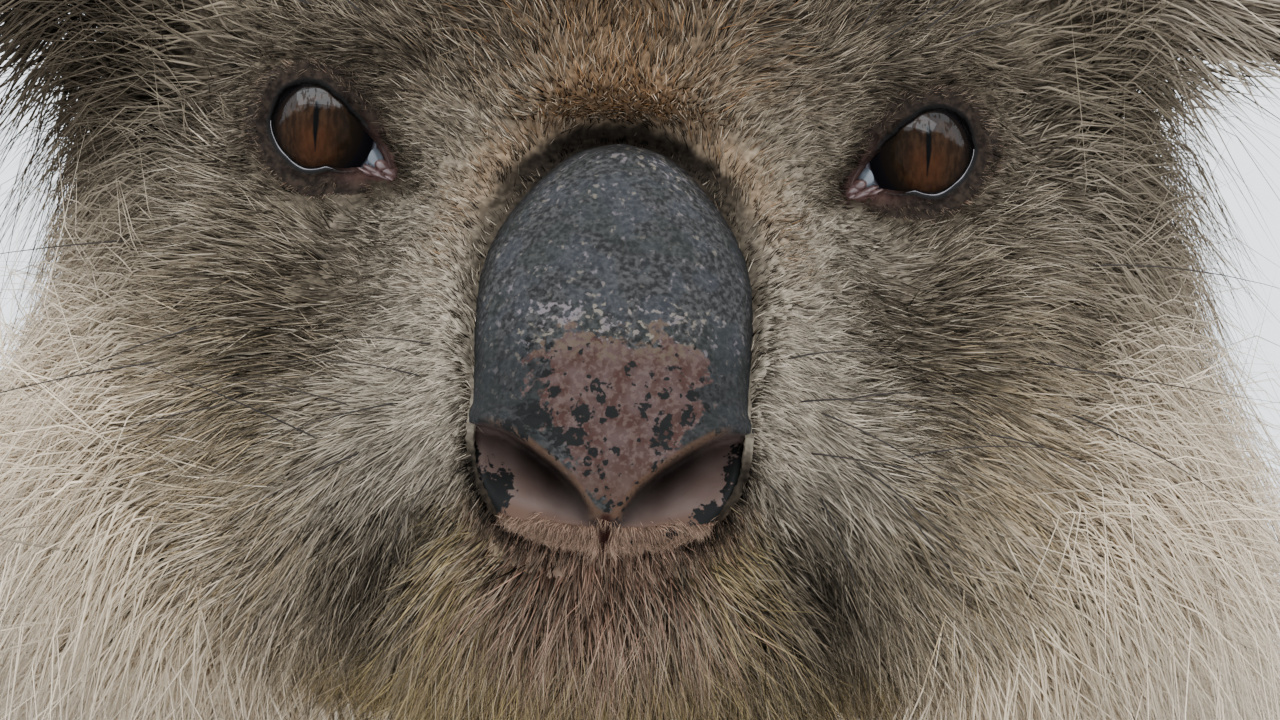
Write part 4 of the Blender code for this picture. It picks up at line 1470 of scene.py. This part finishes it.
# %% [markdown]
# The face has the shortest and finest hairs, three pieces of them, because one piece may not have too
# many triangles. None of these grow on the nose pad, the lids or the eyes. Two more kinds are fuzz: on
# the lobes of the lip, and on the outer half of the lids, where it hides the edge of the bare skin.

# %% Fur of the face
bald = np.where((out_of_pad < -0.9) | (near_eyes & (eye_distance < 1.5)), 0.0, 1.0)
beside_eyes = near_eyes & (eye_distance < 5)
hair_length = np.where(beside_eyes, np.minimum(hair_length, 1.2 + eye_distance * 0.6), hair_length)
beside_pad = 2.3 + 0.9 * step(-40, -44, local_skin[:, 2])
beside_pad += np.maximum(out_of_pad, 0) * (0.5 + 1.3 * step(-46.5, -49, local_skin[:, 2]))
hair_length = np.where(local_skin[:, 1] < 5, np.minimum(hair_length, beside_pad), hair_length)
face_share = on_head * step(15, 9, local_skin[:, 1]) * (from_pad < 56) * bald
face_share *= 1 + 2 * hill(out_of_pad, 1.5) * step(-10, -30, local_skin[:, 2])
fineness = np.interp(from_pad, [16, 30, 45, 56], [1.25, 1.1, 0.85, 0.65])
middle_share = face_share * fineness * (np.abs(local_skin[:, 0]) < 20)
for label, side in SIDES:
    half = face_share * fineness * (local_skin[:, 0] * side >= 20)
    grow(f"face_fur_{label}", half, 29500, 0.28, 11 + side, rings=0, lift=29, wander=18, lock=1,
         lock_size=2.2, lock_pull=0.45, variety=0.38, dark_hairs=0.25, banding=2.1, mingle=0.5, mottle=0.22)
grow("face_fur_middle", middle_share, 31500, 0.245, 14, rings=0, lift=34, wander=18, lock=1,
     lock_size=1.8, lock_pull=0.4, variety=0.40, dark_hairs=0.28, banding=2.3, mingle=0.6, mottle=0.25)


def lip_fuzz(count, seed):
    """Short soft hairs on the two lobes of the lip, below the nostrils."""
    draw = np.random.default_rng(seed)
    x = draw.uniform(-13, 13, count)
    z = lower_edge(x) + 0.3 + (3.6 * step(14, 6, np.abs(x)) + 0.4) * draw.uniform(0, 1, count) ** 1.3

    def front(x, z):
        return pad_height(x, z) + rolled_edge(x, z)

    near = 0.15
    slopes = (front(x + near, z) - front(x, z)) / near, (front(x, z + near) - front(x, z)) / near
    normal = unit(np.stack([slopes[0], np.full(count, -1.0), slopes[1]], -1))
    downward = np.stack([x * 0.07, np.full(count, -0.1), np.full(count, -1.0)], -1)
    way = unit(downward + draw.normal(0, 0.25, (count, 3)))
    way = unit(way - normal * (way * normal).sum(1)[:, None])
    turn = (HEAD_ARRAY[:3, :3] / MM).T
    colours = {name: np.full(count, 0.85 if name == "pink" else 0.0) for name in marks}
    places = np.stack([0.5 + x / 60, 0.5 + (z + 30) / 60], -1)
    roots, length = from_head(np.stack([x, front(x, z), z], -1)), draw.uniform(1.2, 2.4, count)
    return tufts("lip_fuzz", draw, seed, roots, normal @ turn, way @ turn, length, colours, places, 0.14,
                 rings=0, lift=22, variety=0.25, banding=1.5)


def lid_fuzz(label, side, count, seed):
    """Very short hairs on the outer half of the lids, so that the coat comes up to them without an edge."""
    draw = np.random.default_rng(seed)
    turn = draw.uniform(0, 2 * math.pi, count)
    outward = 0.9 + 3.3 * draw.uniform(0, 1, count) ** 0.7
    radius = lid_radius(turn) + outward
    x, z = side * (PUPIL_OUT - radius * np.cos(turn)), radius * np.sin(turn)
    roots, normal = [], []
    for start in from_head(np.stack([x, np.full(count, -90.0), z], -1)):
        place, facing, _, _ = lid_trees[side].ray_cast(Vector(start), Vector((0, 1, 0)))
        roots.append(place or start)
        normal.append(facing * (-1 if facing.y > 0 else 1) if place else (0, -1, 0))
    roots, normal = np.array(roots), np.array(normal)
    away = np.stack([-side * np.cos(turn) + side * 0.9, np.full(count, -0.1), np.sin(turn)], -1)
    way = unit(away + draw.normal(0, 0.3, (count, 3))) @ (HEAD_ARRAY[:3, :3] / MM).T
    way = unit(way - normal * (way * normal).sum(1)[:, None])
    colours = {name: np.zeros(count) for name in marks}
    colours["dark"] = np.interp(outward, [1.0, 2.2, 3.8], [0.85, 0.6, 0.3])
    colours["pink"] = np.full(count, 0.35)
    places = np.stack([0.5 + side * 0.25 - radius * np.cos(turn) / 60, 0.5 + z / 60], -1)
    length = 0.9 + 0.3 * outward
    return tufts(f"lid_fuzz_{label}", draw, seed, roots, normal, way, length, colours, places, 0.14,
                 rings=0, lift=22, variety=0.3, banding=1.5, mingle=0.5)


lip_fuzz(3000, 19)
for label, side in SIDES:
    lid_fuzz(label, side, 2600, 21 + side)
print("face done:", total_tufts, "tufts")

# %% [markdown]
# The cheeks end in a ruff of long, soft, pale hair that hides where the head stops. The ears are round
# and shaggy: short wool on their backs and long white fringes round their edges and inside.

# %% Cheeks, crown and ears
rest_of_head = np.clip(on_head * bald - step(0.2, 0.8, face_share), 0, 1)
x, y, z = local_skin.T
low_or_wide = step(6, -10, z) * step(20, 34, np.abs(x)) * (y < 62)
chin_part = step(-50, -60, z) * (y < 40)
for label, side in SIDES:
    half = step(-3, 3, x * side)
    cheek = rest_of_head * np.maximum(low_or_wide, chin_part) * half
    grow(f"cheek_fur_{label}", cheek, 16000, 0.28, 31 + side, lift=30, wander=20, stretch=1.25, lock=1,
         lock_size=4.5, lock_pull=0.4, droop=0.35, root_tip=0.2, variety=0.10, dark_hairs=0.03)
    outline = step(46, 54, x * side) * step(-52, -40, z) * step(20, 8, z) * (y < 50)
    grow(f"wisps_{label}", rest_of_head * outline, 2200, 0.15, 37 + side, lift=34, wander=32, stretch=2.0,
         lock=1, lock_size=6, lock_pull=0.5, droop=0.3, root_tip=0.3, variety=0.12, dark_hairs=0.05)
crown = rest_of_head * (1 - np.maximum(low_or_wide, chin_part))
grow("crown_fur", crown, 12500, 0.38, 34, lift=26, wander=16, lock=1, lock_size=5, droop=0.1, root_tip=0.1)
for label, side in SIDES:
    ear = belongs(f"ear_{label}")
    out_of_middle = np.linalg.norm((local_skin - np.array([side * 82, 40, 46])) / [38, 17, 37], axis=1)
    away = step(22, 34, z - (4 if side < 0 else 0)) * step(60, 74, np.abs(x))
    edge = step(0.62, 0.8, out_of_middle) * step(-0.55, -0.1, frontward)
    fringe = ear * away * np.maximum(edge, 0.7 * step(-0.1, 0.5, frontward))
    grow(f"ear_fur_{label}", ear, 7500, 0.39, 41 + side, lift=30, wander=20, lock=1, lock_size=5,
         droop=0.2, root_tip=0.1)
    keep = {name: values.copy() for name, values in marks.items()}
    for name in marks:
        marks[name] = marks[name] * 0 + (name == "cream")
    grow(f"ear_fringe_{label}", fringe, 5500, 0.3, 45 + side, lift=30, wander=24, stretch=1.8, lock=1,
         lock_size=8, lock_pull=0.5, droop=0.5, root_tip=0.5, dark_hairs=0.02)
    marks.update(keep)

# %% [markdown]
# The body wears a dense woolly coat that turns rain. It is made of bigger locks, because there is much
# more of it. On the paws it is short again.

# %% Body, limbs and paws
front_half = step(-12, 12, -world_y + 30)
torso = belongs("trunk", "neck")
wool = {"lift": 20, "wander": 24, "lock": 1, "lock_pull": 0.45, "variety": 0.13, "dark_hairs": 0.06,
        "root_tip": 0.25}
grow("coat_front", torso * front_half, 16500, 1.3, 51, stretch=0.8, lock_size=9, **wool)
grow("coat_back", torso * (1 - front_half), 18500, 1.3, 52, stretch=0.8, lock_size=9, **wool)
for label, side in SIDES:
    arm = belongs(f"upper_arm_{label}", f"forearm_{label}")
    leg = belongs(f"thigh_{label}", f"shank_{label}")
    paws = belongs(f"hand_{label}", f"foot_{label}")
    grow(f"arm_fur_{label}", arm, 8000, 1.05, 61 + side, stretch=0.85, lock_size=7, **wool)
    grow(f"leg_fur_{label}", leg, 9000, 1.15, 71 + side, stretch=0.85, lock_size=8, **wool)
    grow(f"paw_fur_{label}", paws, 4500, 0.65, 81 + side, lift=18, wander=14, lock=1, lock_size=4,
         droop=0.0, root_tip=0.1)
print("the whole coat:", total_tufts, "tufts,", total_triangles, "triangles")

# %% [markdown]
# ## Whiskers
#
# A koala has few whiskers: thin, dark, bent hairs beside the nose, on the cheeks and above the eyes.
# Each starts as a bent line. A Geometry Nodes tree gives every line a round, tapering thickness, so the
# lines stay easy to edit.

# %% Whiskers
WHISKER_SPOTS = [  # place across and up, way in degrees (0 is outwards, 90 is up), length
    (20, -30, 24, 26), (22, -34, 16, 24), (24, -31, -12, 30), (26, -36, -30, 30), (28, -33, 8, 27),
    (30, -39, -42, 26), (24, -40, -55, 22), (33, -36, 22, 32), (21, -25, 30, 15), (27, -28, 14, 22),
    (19, -37, -60, 15), (46, -22, -18, 36), (50, -28, -30, 38), (54, -12, -8, 30), (42, -30, -26, 28),
    (30, 13, 35, 22), (33, 14, 55, 26), (37, 13, 25, 24), (27, 12, 70, 17),
]
WHISKER_POINTS = 9
WHISKER_THICKNESS = 0.13


def whisker_lines():
    draw = np.random.default_rng(90)
    tree = BVHTree.FromPolygons(local_skin.tolist(), skin_faces.tolist())
    points, edges = [], []
    for side in (1, -1):
        for across, high, angle, length in WHISKER_SPOTS:
            if draw.uniform() < 0.12:
                continue
            across, high = across + draw.uniform(-1.5, 1.5), high + draw.uniform(-1.5, 1.5)
            place, normal, _, _ = tree.ray_cast(Vector((side * across, -90, high)), Vector((0, 1, 0)))
            turn = math.radians(angle + draw.uniform(-14, 14))
            way = Vector((side * math.cos(turn), 0.1, math.sin(turn))) + Vector(normal) * 0.7
            bend = Vector((draw.uniform(-0.2, 0.2), 0.35, draw.uniform(-0.55, 0.1)))
            length *= draw.uniform(0.75, 1.15)
            for number in range(WHISKER_POINTS):
                share = number / (WHISKER_POINTS - 1)
                reach = (way.normalized() + bend * share * 0.7) * length * share
                points.append(place - Vector(normal) * 1.5 + reach)
                if number:
                    edges.append((len(points) - 2, len(points) - 1))
    mesh = bpy.data.meshes.new("whisker_lines")
    mesh.from_pydata([tuple(p) for p in points], edges, [])
    mesh.transform(HEAD)
    return mesh


def whisker_tree():
    """Gives each line of a mesh a round section that tapers to its end."""
    tree = bpy.data.node_groups.new("Whiskers", "GeometryNodeTree")
    tree.interface.new_socket("Geometry", in_out="INPUT", socket_type="NodeSocketGeometry")
    thickness = tree.interface.new_socket("Thickness", in_out="INPUT", socket_type="NodeSocketFloat")
    material = tree.interface.new_socket("Material", in_out="INPUT", socket_type="NodeSocketMaterial")
    tree.interface.new_socket("Geometry", in_out="OUTPUT", socket_type="NodeSocketGeometry")
    made = {}
    for name, kind in {
        "in": "NodeGroupInput",
        "line": "GeometryNodeMeshToCurve",
        "where": "GeometryNodeSplineParameter",
        "left": "ShaderNodeMath",
        "thin": "ShaderNodeMath",
        "round": "GeometryNodeCurvePrimitiveCircle",
        "tube": "GeometryNodeCurveToMesh",
        "grown": "GeometryNodeSetCurveRadius",
        "real": "GeometryNodeRealizeInstances",
        "paint": "GeometryNodeSetMaterial",
        "out": "NodeGroupOutput",
    }.items():
        made[name] = tree.nodes.new(kind)
    made["left"].operation = "SUBTRACT"
    made["left"].inputs[0].default_value = 1.04
    made["thin"].operation = "MULTIPLY"
    made["round"].inputs["Resolution"].default_value = 5
    made["round"].inputs["Radius"].default_value = 1.0
    made["tube"].inputs["Fill Caps"].default_value = True
    links = [("in", "Geometry", "line", "Mesh"), ("line", "Curve", "grown", "Curve"),
             ("where", "Factor", "left", 1), ("left", 0, "thin", 0), ("in", "Thickness", "thin", 1),
             ("thin", 0, "grown", "Radius"),
             ("grown", "Curve", "tube", "Curve"), ("round", "Curve", "tube", "Profile Curve"),
             ("tube", "Mesh", "real", "Geometry"), ("real", "Geometry", "paint", "Geometry"),
             ("in", "Material", "paint", "Material"), ("paint", "Geometry", "out", "Geometry")]
    if "Scale" in made["tube"].inputs:
        links.append(("thin", 0, "tube", "Scale"))
    for start, exit_name, end, entry in links:
        tree.links.new(made[start].outputs[exit_name], made[end].inputs[entry])
    return tree, thickness.identifier, material.identifier


dark_hair = Paint("whisker", Roughness=0.5, Specular_IOR_Level=0.15)
whisker_paint = dark_hair.finish(Base_Color=dark_hair.mix(
    dark_hair.noise(8.0), (0.012, 0.010, 0.009), (0.045, 0.036, 0.030)))
holder = bpy.data.objects.new("whisker_lines", whisker_lines())
bpy.context.scene.collection.objects.link(holder)
growing = holder.modifiers.new("Whiskers", "NODES")
growing.node_group, thickness_id, material_id = whisker_tree()
growing[thickness_id] = WHISKER_THICKNESS * MM
growing[material_id] = whisker_paint
whisker_mesh = bpy.data.meshes.new_from_object(holder.evaluated_get(bpy.context.evaluated_depsgraph_get()))
whisker_mesh.name = "whiskers"
bpy.data.objects.remove(holder)
piece_of(whisker_mesh, whisker_paint)
print("whiskers:", len(whisker_mesh.polygons), "faces")

# %% [markdown]
# ## Claws
#
# The claws are horn: brown-black, smooth and sharply curved. Their shapes are those of the solids, made
# rounder by subdivision.

# %% Claws
horn = Paint("claw", Roughness=0.35)
grain = horn.noise(2.2, 3.0, stretch=(2.5, 0.5, 0.5))
horn_paint = horn.finish(
    Base_Color=horn.mix(grain.between(0.35, 0.7), (0.018, 0.014, 0.011), (0.075, 0.058, 0.043)),
    Normal=horn.bump(grain, 0.2),
)
for node in [name for name in solids if name.startswith("claw_")]:
    shape = merged_copy(node)
    mesh = bpy.data.meshes.new(node)
    shape.to_mesh(mesh)
    shape.free()
    rounded = bpy.data.objects.new(node, mesh)
    bpy.context.scene.collection.objects.link(rounded)
    levels = rounded.modifiers.new("Round", "SUBSURF")
    levels.levels = levels.render_levels = 1
    smooth = bpy.data.meshes.new_from_object(rounded.evaluated_get(bpy.context.evaluated_depsgraph_get()))
    smooth.name = "horn_" + node
    bpy.data.objects.remove(rounded)
    smooth.shade_smooth()
    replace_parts(piece_of(smooth, horn_paint), node)
print("claws made")
